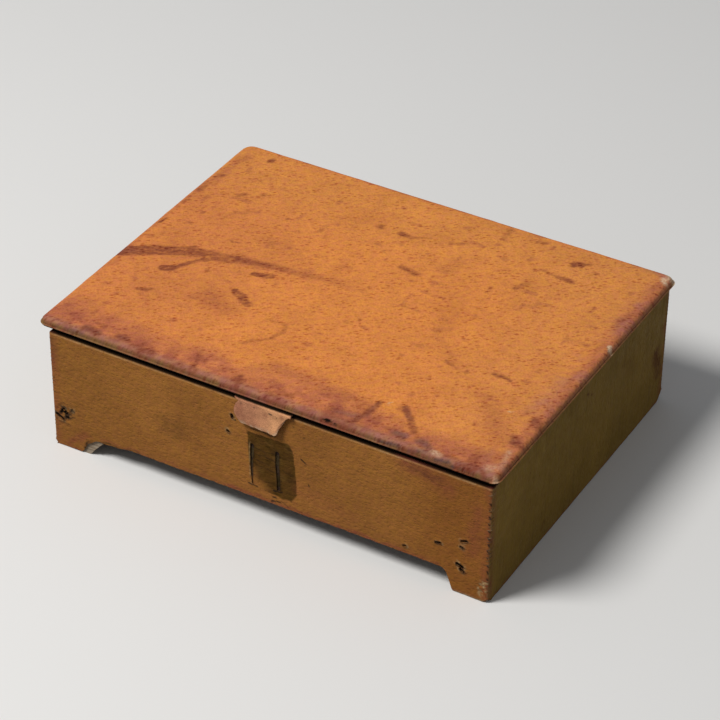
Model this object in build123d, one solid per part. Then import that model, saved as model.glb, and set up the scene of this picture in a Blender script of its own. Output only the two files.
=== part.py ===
from build123d import *
import math
import os

# Leather-covered deed box: a bradded softwood case on bracket feet, covered in pigskin, with a thin
# wrapped lid on two brass butt hinges and the stub of a closing strap under the lid's front edge.
# Frame: X to the right, Y to the back, Z up. The origin is on the rest plane, below the middle of
# the case. All sizes are in millimetres.

# Case, measured over the leather
case_width = 330.0
case_depth = 256.0
case_height = 91.2
leather = 1.2
corner_round = 2.2
rim_round = 1.8
inner_rim_round = 0.8
rim_turn_in = 7.0
leather_lift = 0.5

# Boards and floor
board = 9.6
rebate_lip = 4.0
floor_thickness = 6.5
floor_above_arch = 1.5
lining = 0.6
lining_gap = 0.3

# Bracket feet at the front and back, and the glue blocks behind them
foot_width = 25.5
foot_rake = 6.0
arch_height = 16.5
arch_round = 5.5
toe_round = 2.5
foot_block_depth = 24.0

# Slits left in the front where a strap keeper was let in
slit_width = 2.8
slit_height = 33.0
slit_depth = 2.6
slit_spacing = 19.4
slit_centre_x = 1.5
slit_bottom_z = 26.8

# Holes that beetles and pulled nails have left in the front: right of its middle, height and radius
hole_depth = 4.5
hole_sides = 6
front_holes = [
    (104.7, 22.3, 0.9),
    (128.4, 34.6, 0.95),
    (146.7, 42.9, 1.0),
    (145.1, 37.4, 0.75),
    (144.0, 22.6, 1.2),
    (145.8, 19.2, 1.0),
    (162.0, 15.2, 1.3),
    (-25.3, 64.4, 0.95),
    (-23.1, 76.8, 0.9),
    (-157.6, 29.0, 1.7),
    (-154.2, 31.9, 1.2),
]

# Foot corners rounded by wear: which side, which end, and how far along each edge the wear reaches
worn_feet = [(-1, -1, 3.6), (1, -1, 4.4), (1, 1, 8.0)]
wear_ball = 30.0

# The front left foot is cut less steeply, and its leather is torn back from the bare wood. Both
# outlines are measured from the toe: towards the middle, and up
splayed_foot = [
    (-4.0, 0.0),
    (2.4, 0.0),
    (3.6, 1.2),
    (6.2, 4.7),
    (8.8, 7.6),
    (11.4, 10.5),
    (13.6, 12.6),
    (16.0, 13.9),
    (20.5, 14.3),
    (28.0, 14.9),
    (37.0, 16.5),
    (37.0, 18.0),
    (-4.0, 18.0),
]
torn_leather = [
    (-6.0, -2.0),
    (-4.2, -0.5),
    (-2.2, 2.2),
    (-0.3, 5.8),
    (0.7, 7.6),
    (2.3, 9.1),
    (4.8, 10.9),
    (6.5, 12.4),
    (9.0, 13.8),
    (11.5, 14.1),
    (16.0, 13.9),
    (16.0, -2.0),
]

# Cut brads in the boards, square in section
brad_width = 1.8
brad_length = 24.0
corner_brads_each = 3
corner_brad_end_margin = 14.0
floor_brads_along = 4
floor_brads_across = 3
floor_brad_end_margin = 52.0

# Lid, measured over the leather
lid_thickness = 7.0
lid_gap = 3.0
overhang_left = 7.0
overhang_right = 3.0
overhang_front = 1.0
overhang_back = 2.5
lid_corner_front = 5.5
lid_corner_back_left = 9.0
lid_corner_back_right = 6.0
lid_top_round = 3.4
lid_bottom_round = 1.5
lid_turn_in = 16.0

# Brass butt hinges
hinge_length = 38.0
hinge_inset = 60.0
leaf_width = 7.4
leaf_thickness = 1.0
knuckle_radius = 1.9
knuckle_count = 3
knuckle_gap = 0.15
knuckle_clearance = 0.3
pin_radius = 0.85
pin_clearance = 0.05
gain_clearance = 0.35
gain_end_clearance = 0.6

# Countersunk hinge screws
screw_radius = 1.0
screw_head_radius = 1.85
screw_spacing = 22.0
case_screw_length = 9.0
lid_screw_length = 5.4

# Strap: nailed under the lid, torn off short in front of the case
strap_width = 42.0
strap_centre_x = 1.3
strap_thickness = 1.9
strap_anchor_length = 30.0
strap_stand_off = 0.65
strap_bend_gap = 0.3
strap_curl_left = 1.3
strap_curl_right = 3.0
strap_drop = 18.0

# Tacks in the strap
tack_radius = 0.7
tack_head_radius = 2.4
tack_head_height = 0.7
tack_head_chamfer = 0.45
tack_bite = 3.0
tack_count = 3
tack_spacing = 14.0
tack_end_distance = 7.0

# The torn outline of the hanging strap: distance right of its middle and below its bend
torn_edge = [
    (-17.5, -1.2),
    (-19.6, -4.0),
    (-21.0, -8.2),
    (-21.0, -11.9),
    (-19.9, -15.2),
    (-18.2, -17.1),
    (-7.6, -17.7),
    (5.4, -17.4),
    (8.8, -17.8),
    (11.2, -16.4),
    (12.4, -12.5),
    (14.7, -8.9),
    (16.8, -4.6),
    (18.9, -2.0),
]

# Levels and faces that follow from the sizes above
half_width = case_width / 2
half_depth = case_depth / 2
board_x = half_width - leather
board_y = half_depth - leather
board_top = case_height - leather
inner_x = board_x - board
inner_y = board_y - board
floor_bottom = arch_height + floor_above_arch
floor_top = floor_bottom + floor_thickness
turn_in_bottom = case_height - rim_turn_in
lid_bottom = case_height + lid_gap
lid_top = lid_bottom + lid_thickness
hinge_axis_y = half_depth
hinge_axis_z = case_height + lid_gap / 2
leaf_front_y = hinge_axis_y - knuckle_radius - knuckle_clearance - leaf_width
leaf_back_y = hinge_axis_y - knuckle_radius - knuckle_clearance
hinge_x = half_width - hinge_inset
strap_bend_y = -(half_depth + strap_stand_off + strap_thickness / 2)
strap_bend_z = lid_bottom - strap_thickness / 2
through = 4 * case_depth


def block(low, high):
    """A box between two opposite corners."""
    size = [b - a for a, b in zip(low, high)]
    middle = [(a + b) / 2 for a, b in zip(low, high)]
    return Pos(*middle) * Box(*size)


def rod(start, direction, radius, length):
    """A round bar from a start point along a direction."""
    return Plane(origin=start, z_dir=direction) * Cylinder(
        radius, length, align=(Align.CENTER, Align.CENTER, Align.MIN)
    )


def single(shape):
    """The one solid of a finished piece."""
    return shape.solids()[0]


# ---------------------------------------------------------------- case


def case_block(inset):
    """The case as a full block, a given distance inside its leather surface."""
    x = half_width - inset
    y = half_depth - inset
    body = block((-x, -y, 0), (x, y, case_height - inset))
    body = fillet(body.edges().filter_by(Axis.Z), corner_round - inset)
    top = body.edges().group_by(Axis.Z)[-1]
    return fillet(top, rim_round - inset)


def arch_tunnel():
    """The space under the case between the feet, open from front to back."""
    toe_x = half_width - foot_width
    crown_x = toe_x - foot_rake
    below = -toe_round * 4
    outline = [
        (-half_width - board, below),
        (-half_width - board, 0),
        (-toe_x, 0),
        (-crown_x, arch_height),
        (crown_x, arch_height),
        (toe_x, 0),
        (half_width + board, 0),
        (half_width + board, below),
    ]
    face = make_face(Polyline(*outline, close=True))
    crown = [v for v in face.vertices() if abs(v.Y - arch_height) < 0.01]
    face = fillet(crown, arch_round)
    toes = [v for v in face.vertices() if abs(v.Y) < 0.01 and abs(abs(v.X) - toe_x) < 0.01]
    face = fillet(toes, toe_round)
    return extrude(Plane.XZ * face, through / 2, both=True)


def brad(head_point, direction):
    """A headless brad, driven flush into a board's face at a point."""
    square = Box(brad_width, brad_width, brad_length, align=(Align.CENTER, Align.CENTER, Align.MIN))
    return single(Plane(origin=head_point, x_dir=(0, 0, 1), z_dir=direction) * square)


def spread(count, low, high):
    """Evenly spaced places from low to high, both included."""
    return [low + (high - low) * i / (count - 1) for i in range(count)]


def corner_brads():
    """Brads through the front and back boards into the ends of the side boards."""
    levels = spread(corner_brads_each, corner_brad_end_margin, board_top - corner_brad_end_margin)
    brads = []
    for side in (-1, 1):
        for z in levels:
            x = side * (board_x - board / 2)
            brads.append(brad((x, -board_y, z), (0, 1, 0)))
            brads.append(brad((x, board_y, z), (0, -1, 0)))
    return brads


def floor_brads():
    """Brads through all four boards into the edges of the floor."""
    z = floor_bottom + floor_thickness / 2
    brads = []
    reach_x = half_width - floor_brad_end_margin
    reach_y = half_depth - floor_brad_end_margin
    for x in spread(floor_brads_along, -reach_x, reach_x):
        brads.append(brad((x, -board_y, z), (0, 1, 0)))
        brads.append(brad((x, board_y, z), (0, -1, 0)))
    for y in spread(floor_brads_across, -reach_y, reach_y):
        brads.append(brad((-board_x, y, z), (1, 0, 0)))
        brads.append(brad((board_x, y, z), (-1, 0, 0)))
    return brads


def slit_cutters(inner_y_limit):
    """The two upright slits, from in front of the case back to a given face."""
    cutters = []
    for side in (-1, 1):
        x = slit_centre_x + side * slit_spacing / 2
        slot = block(
            (x - slit_width / 2, -half_depth - leather, slit_bottom_z),
            (x + slit_width / 2, inner_y_limit, slit_bottom_z + slit_height),
        )
        cutters.append(fillet(slot.edges().filter_by(Axis.Y), slit_width * 0.45))
    return cutters


def hole_drills():
    """The holes in the front, from in front of the case to their depth."""
    drills = []
    for x, z, radius in front_holes:
        outline = Plane.XZ * RegularPolygon(radius, hole_sides)
        drills.append(Pos(x, hole_depth - half_depth, z) * extrude(outline, hole_depth + leather))
    return drills


def left_foot_prism(outline):
    """An outline given from the toe of the front left foot, taken through board and leather."""
    shape = make_face(Polyline(*outline, close=True))
    toe = Pos(foot_width - half_width, -inner_y, 0)
    return toe * extrude(Plane.XZ * shape, board + 2 * leather)


def worn_corner(x_side, y_side, wear):
    """What is gone from the bottom corner of a foot: all of it that lies beyond a large ball."""
    corner = (x_side * half_width, y_side * half_depth, 0)
    centre = (corner[0] - x_side * wear_ball, corner[1] - y_side * wear_ball, wear_ball)
    radius = math.sqrt(2 * wear_ball**2 + (wear_ball - wear) ** 2)
    reach = 1.5 * wear
    x_low, x_high = sorted((corner[0] - x_side * reach, corner[0] + x_side * leather))
    y_low, y_high = sorted((corner[1] - y_side * reach, corner[1] + y_side * leather))
    return block((x_low, y_low, -leather), (x_high, y_high, reach)) - Pos(*centre) * Sphere(radius)


def end_board(side, tunnel):
    """The front (side -1) or back (side 1) board, rebated over the ends of the side boards."""
    outer = side * board_y
    inner = side * inner_y
    low, high = sorted((outer, inner))
    body = block((-board_x, low, 0), (board_x, high, board_top)) & case_block(leather)
    lip = side * (board_y - rebate_lip)
    rebate_low, rebate_high = sorted((lip, inner - side * board))
    for end in (-1, 1):
        x_low, x_high = sorted((end * inner_x, end * (board_x + board)))
        body -= block((x_low, rebate_low, -board), (x_high, rebate_high, case_height))
    return body - tunnel


def side_board(side):
    """The left (side -1) or right (side 1) board, straight down to the rest plane."""
    low, high = sorted((side * board_x, side * inner_x))
    reach = board_y - rebate_lip
    return block((low, -reach, 0), (high, reach, board_top)) & case_block(leather)


def floor_board():
    """The floor, let in between the four boards and carried by the foot blocks."""
    return block((-inner_x, -inner_y, floor_bottom), (inner_x, inner_y, floor_top))


def foot_block(x_side, y_side, tunnel):
    """A glue block in the corner behind a foot, cut flush with the arch."""
    crown_x = half_width - foot_width - foot_rake
    x_low, x_high = sorted((x_side * crown_x, x_side * inner_x))
    y_low, y_high = sorted((y_side * inner_y, y_side * (inner_y - foot_block_depth)))
    return block((x_low, y_low, 0), (x_high, y_high, floor_bottom)) - tunnel


def leather_sleeve():
    """The whole leather cover of the case: over the outside, across the rim and down inside it."""
    cover = case_block(0) - case_block(leather)
    cover += block((-inner_x, -inner_y, turn_in_bottom), (inner_x, inner_y, board_top))
    x = inner_x - leather
    y = inner_y - leather
    cover -= block((-x, -y, -board), (x, y, case_height + board))
    rim = cover.edges().group_by(Axis.Z)[-1]
    inner_rim = [e for e in rim if abs(e.center().X) < x + 0.01 and abs(e.center().Y) < y + 0.01]
    cover = fillet(inner_rim, inner_rim_round)
    return cover - block((-case_width, -case_depth, -board), (case_width, case_depth, leather_lift))


def mitre_wedge(quarter):
    """The quarter of the plan that one leather panel fills: 0 front, 1 right, 2 back, 3 left."""
    reach = board + 4 * leather
    x = half_width
    y = half_depth
    outer = [(-x - reach, -y - reach), (x + reach, -y - reach), (x + reach, y + reach), (-x - reach, y + reach)]
    inner = [(-x + reach, -y + reach), (x - reach, -y + reach), (x - reach, y - reach), (-x + reach, y - reach)]
    following = (quarter + 1) % 4
    points = (outer[quarter], outer[following], inner[following], inner[quarter])
    return extrude(make_face(Polyline(*points, close=True)), case_height + leather)


def wall_linings():
    """Paper on the inner faces of the boards, from the floor paper to the turned-in leather."""
    low = floor_top + lining
    high = turn_in_bottom - lining_gap
    x = inner_x
    y = inner_y
    return {
        "left_lining": block((-x, -y, low), (-x + lining, y, high)),
        "right_lining": block((x - lining, -y, low), (x, y, high)),
        "front_lining": block((-x + lining, -y, low), (x - lining, -y + lining, high)),
        "back_lining": block((-x + lining, y - lining, low), (x - lining, y, high)),
    }


# ---------------------------------------------------------------- hinges


def hinge_gain(x, radius, rearward):
    """The hollow in the leather that a row of knuckles turns in."""
    half = hinge_length / 2 + gain_end_clearance
    gain = rod((x - half, hinge_axis_y, hinge_axis_z), (1, 0, 0), radius, 2 * half)
    if rearward:
        gain += block(
            (x - half, hinge_axis_y, hinge_axis_z),
            (x + half, half_depth + overhang_back + leather, hinge_axis_z + radius),
        )
    return gain


def hinge_leaf(x, on_lid):
    """One leaf: a flat plate, with every other knuckle rolled from it."""
    if on_lid:
        low, high = lid_bottom - leaf_thickness, lid_bottom
        own = range(1, knuckle_count, 2)
        bore = pin_radius + pin_clearance
    else:
        low, high = case_height, case_height + leaf_thickness
        own = range(0, knuckle_count, 2)
        bore = pin_radius
    half = hinge_length / 2
    leaf = block((x - half, leaf_front_y, low), (x + half, leaf_back_y, high))
    pitch = hinge_length / knuckle_count
    for i in own:
        start = x - half + i * pitch + (knuckle_gap / 2 if i else 0)
        end = x - half + (i + 1) * pitch - (knuckle_gap / 2 if i < knuckle_count - 1 else 0)
        leaf += rod((start, hinge_axis_y, hinge_axis_z), (1, 0, 0), knuckle_radius, end - start)
        leaf += block((start, leaf_back_y - leaf_thickness, low), (end, hinge_axis_y, high))
    return leaf - rod((x - hinge_length, hinge_axis_y, hinge_axis_z), (1, 0, 0), bore, 2 * hinge_length)


def hinge_pin(x):
    """The pin, as long as the row of knuckles."""
    return rod((x - hinge_length / 2, hinge_axis_y, hinge_axis_z), (1, 0, 0), pin_radius, hinge_length)


def hinge_screws(on_lid):
    """Countersunk screws through the leaves, upwards into the lid or down into the back board."""
    if on_lid:
        face_z, way, length = lid_bottom - leaf_thickness, 1, lid_screw_length
    else:
        face_z, way, length = case_height + leaf_thickness, -1, case_screw_length
    y = (leaf_front_y + leaf_back_y) / 2
    head_depth = screw_head_radius - screw_radius
    from_face = (Align.CENTER, Align.CENTER, Align.MIN)
    screws = []
    for hinge in (-hinge_x, hinge_x):
        for offset in (-screw_spacing / 2, screw_spacing / 2):
            place = Plane(origin=(hinge + offset, y, face_z), z_dir=(0, 0, way))
            head = Cone(screw_head_radius, screw_radius, head_depth, align=from_face)
            shank = Cylinder(screw_radius, length, align=from_face)
            screws.append(single(place * (head + shank)))
    return screws


# ---------------------------------------------------------------- lid


def lid_block(inset):
    """The lid as a full slab, a given distance inside its leather surface."""
    x_low = -half_width - overhang_left + inset
    x_high = half_width + overhang_right - inset
    y_low = -half_depth - overhang_front + inset
    y_high = half_depth + overhang_back - inset
    plan = make_face(Polyline((x_low, y_low), (x_high, y_low), (x_high, y_high), (x_low, y_high), close=True))
    front = [v for v in plan.vertices() if v.Y < 0]
    plan = fillet(front, lid_corner_front - inset)
    back_left = [v for v in plan.vertices() if abs(v.X - x_low) < 0.01 and abs(v.Y - y_high) < 0.01]
    plan = fillet(back_left, lid_corner_back_left - inset)
    back_right = [v for v in plan.vertices() if abs(v.X - x_high) < 0.01 and abs(v.Y - y_high) < 0.01]
    plan = fillet(back_right, lid_corner_back_right - inset)
    slab = extrude(Pos(0, 0, lid_bottom + inset) * plan, lid_thickness - 2 * inset)
    slab = fillet(slab.edges().group_by(Axis.Z)[-1], lid_top_round - inset)
    return slab if inset else fillet(slab.edges().group_by(Axis.Z)[0], lid_bottom_round)


def lid_window(clearance):
    """The space inside the turned-in leather under the lid, less a clearance."""
    edge = lid_turn_in + clearance
    return block(
        (-half_width - overhang_left + edge, -half_depth - overhang_front + edge, lid_bottom),
        (half_width + overhang_right - edge, half_depth + overhang_back - edge, lid_bottom + leather),
    )


# ---------------------------------------------------------------- strap


def strap_anchor():
    """The part of the strap that is nailed flat under the lid."""
    front = strap_bend_y + strap_thickness / 2 + strap_bend_gap
    return block(
        (strap_centre_x - strap_width / 2, front, lid_bottom - strap_thickness),
        (strap_centre_x + strap_width / 2, front + strap_anchor_length, lid_bottom),
    )


def strap_section(x, curl):
    """The hanging strap cut across at one place: a round root, then an arc that leaves the case."""
    half = strap_thickness / 2
    radius = (strap_drop**2 + curl**2) / (2 * curl)
    sweep = math.asin(strap_drop / radius)

    def on_arc(offset, angle):
        reach = radius + offset
        return (x, strap_bend_y - radius + reach * math.cos(angle), strap_bend_z - reach * math.sin(angle))

    root = ThreePointArc(on_arc(-half, 0), (x, strap_bend_y, strap_bend_z + half), on_arc(half, 0))
    inner = ThreePointArc(on_arc(half, 0), on_arc(half, sweep / 2), on_arc(half, sweep))
    tip = Line(on_arc(half, sweep), on_arc(-half, sweep))
    outer = ThreePointArc(on_arc(-half, sweep), on_arc(-half, sweep / 2), on_arc(-half, 0))
    return make_face([root, inner, tip, outer])


def strap_tab():
    """The stub that hangs in front of the case, curling away more at its right, with a torn end."""
    left = strap_section(strap_centre_x - strap_width / 2, strap_curl_left)
    right = strap_section(strap_centre_x + strap_width / 2, strap_curl_right)
    strip = loft([left, right], ruled=True)
    top = strap_bend_z + strap_thickness
    edge = [(strap_centre_x + dx, strap_bend_z + dz) for dx, dz in torn_edge]
    half = strap_width / 2 + strap_thickness
    corners = [(strap_centre_x + half, strap_bend_z), (strap_centre_x + half, top)]
    corners += [(strap_centre_x - half, top), (strap_centre_x - half, strap_bend_z)]
    outline = make_face(Polyline(*edge, *corners, close=True))
    return strip & extrude(Plane.XZ * outline, through / 2, both=True)


def strap_tacks():
    """Tacks with flat round heads, up through the strap into the lid board."""
    y = strap_bend_y + strap_thickness / 2 + strap_bend_gap + strap_anchor_length - tack_end_distance
    face_z = lid_bottom - strap_thickness
    length = strap_thickness + leather + tack_bite
    tacks = []
    for i in range(tack_count):
        x = strap_centre_x + (i - (tack_count - 1) / 2) * tack_spacing
        shank = rod((x, y, face_z), (0, 0, 1), tack_radius, length)
        head = rod((x, y, face_z), (0, 0, -1), tack_head_radius, tack_head_height)
        rim = head.edges().group_by(Axis.Z)[0]
        tacks.append(single(chamfer(rim, tack_head_chamfer) + shank))
    return tacks


# ---------------------------------------------------------------- assembly


def cut(body, tools):
    """A body less each of a list of tools."""
    for tool in tools:
        body -= tool
    return body


def build():
    """Every node of the box by name."""
    tunnel = arch_tunnel()
    front_tunnel = tunnel - left_foot_prism(splayed_foot)
    corner = corner_brads()
    floor = floor_brads()
    case_screws = hinge_screws(False)
    lid_screws = hinge_screws(True)
    tacks = strap_tacks()
    front_cuts = slit_cutters(-board_y + slit_depth) + hole_drills()
    wear = [worn_corner(*foot) for foot in worn_feet]
    nodes = {}

    nodes["front_board"] = cut(end_board(-1, front_tunnel), corner + floor + front_cuts + wear)
    nodes["back_board"] = cut(end_board(1, tunnel), corner + floor + case_screws + wear)
    nodes["left_board"] = cut(side_board(-1), corner + floor + wear)
    nodes["right_board"] = cut(side_board(1), corner + floor + wear)
    nodes["floor_board"] = cut(floor_board(), floor)
    for y_side, y_name in ((-1, "front"), (1, "back")):
        for x_side, x_name in ((-1, "left"), (1, "right")):
            nodes[f"foot_block_{y_name}_{x_name}"] = foot_block(x_side, y_side, tunnel)

    sleeve = leather_sleeve()
    gains = [hinge_gain(x, knuckle_radius + knuckle_clearance, False) for x in (-hinge_x, hinge_x)]
    extra = {
        "front": [front_tunnel, left_foot_prism(torn_leather)] + front_cuts,
        "right": [],
        "back": [tunnel] + gains + case_screws,
        "left": [],
    }
    for quarter, name in enumerate(extra):
        nodes[f"{name}_leather"] = cut(sleeve & mitre_wedge(quarter), extra[name] + wear)

    nodes.update(wall_linings())
    nodes["floor_lining"] = block((-inner_x, -inner_y, floor_top), (inner_x, inner_y, floor_top + lining))
    nodes["corner_brads"] = Compound(children=corner)
    nodes["floor_brads"] = Compound(children=floor)

    for x, name in ((-hinge_x, "left"), (hinge_x, "right")):
        nodes[f"hinge_case_leaf_{name}"] = cut(hinge_leaf(x, False), case_screws)
        nodes[f"hinge_lid_leaf_{name}"] = cut(hinge_leaf(x, True), lid_screws)
        nodes[f"hinge_pin_{name}"] = hinge_pin(x)
    nodes["case_hinge_screws"] = Compound(children=case_screws)
    nodes["lid_hinge_screws"] = Compound(children=lid_screws)

    lid_gains = [hinge_gain(x, knuckle_radius + gain_clearance, True) for x in (-hinge_x, hinge_x)]
    nodes["lid_board"] = cut(lid_block(leather), lid_screws + tacks)
    nodes["lid_leather"] = cut(lid_block(0) - lid_block(leather) - lid_window(0), lid_gains + lid_screws)
    nodes["lid_lining"] = cut(lid_window(lining_gap), tacks)
    nodes["strap_anchor"] = cut(strap_anchor(), tacks)
    nodes["strap_tacks"] = Compound(children=tacks)
    nodes["strap_tab"] = strap_tab()
    return nodes


os.makedirs("parts", exist_ok=True)
for node_name, shape in build().items():
    export_step(shape, f"parts/{node_name}.step")
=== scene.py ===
import math

import bpy
import numpy as np
from mathutils import Matrix, Vector

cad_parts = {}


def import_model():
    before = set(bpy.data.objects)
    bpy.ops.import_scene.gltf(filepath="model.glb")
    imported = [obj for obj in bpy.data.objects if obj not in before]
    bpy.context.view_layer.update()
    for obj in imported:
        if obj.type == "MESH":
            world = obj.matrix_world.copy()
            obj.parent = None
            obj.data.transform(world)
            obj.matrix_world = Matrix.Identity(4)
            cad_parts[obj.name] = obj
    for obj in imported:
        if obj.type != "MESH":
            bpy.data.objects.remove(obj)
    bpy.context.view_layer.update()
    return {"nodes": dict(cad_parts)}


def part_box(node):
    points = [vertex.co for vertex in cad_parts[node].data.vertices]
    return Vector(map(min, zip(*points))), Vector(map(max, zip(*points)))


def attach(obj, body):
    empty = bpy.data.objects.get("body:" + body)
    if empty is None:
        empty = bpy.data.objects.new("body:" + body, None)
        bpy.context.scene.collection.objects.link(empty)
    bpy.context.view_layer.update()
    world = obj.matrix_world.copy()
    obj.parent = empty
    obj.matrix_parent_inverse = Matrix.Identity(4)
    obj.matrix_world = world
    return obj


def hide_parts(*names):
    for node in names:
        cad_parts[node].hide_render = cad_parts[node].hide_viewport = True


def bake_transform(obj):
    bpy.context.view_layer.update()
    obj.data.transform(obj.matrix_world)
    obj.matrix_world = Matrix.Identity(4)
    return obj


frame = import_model()

# Leather-covered deed box. Sizes in this file are millimetres in the part's frame; a mesh is scaled
# to metres as it is made.
MM = 0.001
HALF_WIDTH, HALF_DEPTH, CASE_TOP = 165.0, 128.0, 91.2
CORNER_ROUND, RIM_ROUND, INNER_ROUND = 2.2, 1.8, 0.8
STITCH_SPACING, STITCH_RADIUS = 3.05, 0.22
RIM_WIDTH, TURN_IN_BOTTOM = 12.0, 84.2
CUT_EDGE, PAPER_EDGE = 1.15, 0.45
LID_LOW, LID_HIGH = (-172.0, -129.0), (168.0, 130.5)
LID_BOTTOM, LID_TOP = 94.2, 101.2
LID_CORNERS = (5.5, 5.5, 6.0, 9.0)
LID_TOP_ROUND, LID_BOTTOM_ROUND, LID_TURN_IN = 4.4, 1.5, 16.0
HINGE_X, HINGE_Y, HINGE_Z, HINGE_HALF = 105.0, 128.0, 92.7, 19.6
SCREW_SPACING, SCREW_HEAD, SCREW_SHANK = 22.0, 1.85, 1.0
STRAP_X, STRAP_WIDTH, STRAP_THICK, STRAP_NAILED = 1.3, 42.0, 1.9, 30.0
BEND_Y, BEND_Z = -129.6, 93.25
CURL_LEFT, CURL_RIGHT, STRAP_DROP = 1.3, 3.0, 18.0
SHADE = (0.016, 0.01, 0.006)


# ------------------------------------------------------------------ numbers


def smooth(value, low, high):
    """0 below low, 1 above high, and a soft step between."""
    t = np.clip((value - low) / (high - low), 0, 1)
    return t * t * (3 - 2 * t)


def noise(points, size, seed, octaves=2):
    """Smooth random values from about -1 to 1 at points, with bumps about size apart."""
    table = np.random.default_rng(seed).random((32, 32, 32)) * 2 - 1
    total = np.zeros(len(points))
    for k in range(octaves):
        q = points / size * 2**k + 5.37 * (k + 1)
        cell = np.floor(q).astype(int)
        f = q - cell
        f = f * f * (3 - 2 * f)
        for step in np.ndindex(2, 2, 2):
            weight = np.prod(np.where(step, f, 1 - f), axis=1)
            total += weight * table[tuple((cell + step).T % 32)] / 2**k
    return total


def flat(x, y):
    """Two coordinates as points on a plane."""
    return np.stack([x, y, 0 * x], 1)


def along(spots, line):
    """The distance from 2-D places to a run of straight lines, and the share of the run passed."""
    line = np.reshape(line, (-1, 2)).astype(float)
    lengths = np.linalg.norm(np.diff(line, axis=0), axis=1)
    best, share, passed = np.linalg.norm(spots - line[0], axis=1), np.zeros(len(spots)), 0.0
    for a, b, length in zip(line, line[1:], lengths):
        t = np.clip((spots - a) @ (b - a) / length**2, 0, 1)
        d = np.linalg.norm(spots - a - t[:, None] * (b - a), axis=1)
        near = d < best
        best[near] = d[near]
        share[near] = (passed + t[near] * length) / lengths.sum()
        passed += length
    return best, share


def warped(spots, amount, size, seed):
    """2-D places pushed about by noise, which makes the edge of a mark uneven."""
    plane = flat(*spots.T)
    return spots + amount * np.stack([noise(plane, size, seed + k) for k in range(2)], 1)


def paint(field, spots, strokes):
    """Raises a field along strokes: half width, softness, strength, end strength, then the points."""
    for half, soft, strength, end, *line in strokes:
        corners, reach = np.reshape(line, (-1, 2)), half + soft
        inside = (spots > corners.min(0) - reach) & (spots < corners.max(0) + reach)
        inside = np.nonzero(inside.all(axis=1))[0]
        d, share = along(spots[inside], line)
        value = smooth(reach - d, 0, 2 * soft) * (strength + (end - strength) * share)
        field[inside] = np.maximum(field[inside], value)
    return field


class Skin:
    """The base colour, and the dark, red and pale marks, at the points of a sheet."""

    def __init__(self, points, colour):
        self.points = points
        self.tint = np.tile(np.array(colour, float), (len(points), 1))
        self.marks = np.zeros((len(points), 3))

    def coat(self, *layers):
        """Takes the base colour toward each layer's colour by its weight."""
        for colour, weight in layers:
            self.tint += (np.array(colour) - self.tint) * np.reshape(weight, (-1, 1))

    def mark(self, kind, value):
        """Raises one kind of mark to a value where it is weaker."""
        self.marks[:, kind] = np.maximum(self.marks[:, kind], value)

    def strokes(self, kind, spots, strokes):
        """Raises one kind of mark along strokes."""
        paint(self.marks[:, kind], spots, strokes)

    def patches(self, size, seed, low, high, octaves=2):
        """Uneven patches from noise: 0 where it is below low, 1 where it is above high."""
        return smooth(noise(self.points, size, seed, octaves), low, high)

    def fields(self):
        """What a mesh keeps of its skin, by the names that the materials read."""
        return {"tint": self.tint, "marks": self.marks}


DARK, RED, PALE = range(3)


# ------------------------------------------------------------------ meshes


def grid_faces(rows, columns):
    """Quads of a grid whose points are numbered row by row."""
    index = np.arange(rows * columns).reshape(rows, columns)
    return np.stack([index[:-1, :-1], index[1:, :-1], index[1:, 1:], index[:-1, 1:]], -1).reshape(-1, 4)


def outline(rows, columns):
    """The points round the edge of such a grid, in order."""
    index = np.arange(rows * columns).reshape(rows, columns)
    return np.concatenate([index[:-1, 0], index[-1, :-1], index[:0:-1, -1], index[0, :0:-1]])


def ring_faces(rings, sides):
    """Quads between rings of points that are numbered ring by ring."""
    index = np.arange(rings * sides).reshape(rings, sides)
    after = np.roll(index, -1, axis=1)
    return np.stack([index[:-1], after[:-1], after[1:], index[1:]], -1).reshape(-1, 4)


def vertex_normals(points, faces):
    """Normals of the points of a mesh of quads."""
    a = points[faces[:, 2]] - points[faces[:, 0]]
    b = points[faces[:, 3]] - points[faces[:, 1]]
    total = np.zeros_like(points)
    for k in range(4):
        np.add.at(total, faces[:, k], np.cross(a, b))
    return total / np.maximum(np.linalg.norm(total, axis=1), 1e-12)[:, None]


def thickened(points, faces, fields, depth):
    """A sheet's points that have faces, and its open edges turned in by a depth, as a cut edge."""
    keep, back = np.unique(faces, return_inverse=True)
    points, faces = points[keep], back.reshape(faces.shape)
    edges = np.concatenate([faces[:, [k, (k + 1) % 4]] for k in range(4)])
    edges = edges[edges[:, 0] != edges[:, 1]]
    _, back, count = np.unique(np.sort(edges, axis=1), axis=0, return_inverse=True, return_counts=True)
    edges = edges[count[back.reshape(-1)] == 1]
    rim, back = np.unique(edges, return_inverse=True)
    back = back.reshape(edges.shape) + len(points)
    inner = points[rim] - vertex_normals(points, faces)[rim] * depth
    wall = np.stack([edges[:, 1], edges[:, 0], back[:, 0], back[:, 1]], 1)
    fields = {name: np.concatenate([value[keep], value[keep][rim]]) for name, value in fields.items()}
    return np.concatenate([points, inner]), np.concatenate([faces, wall]), fields


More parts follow.
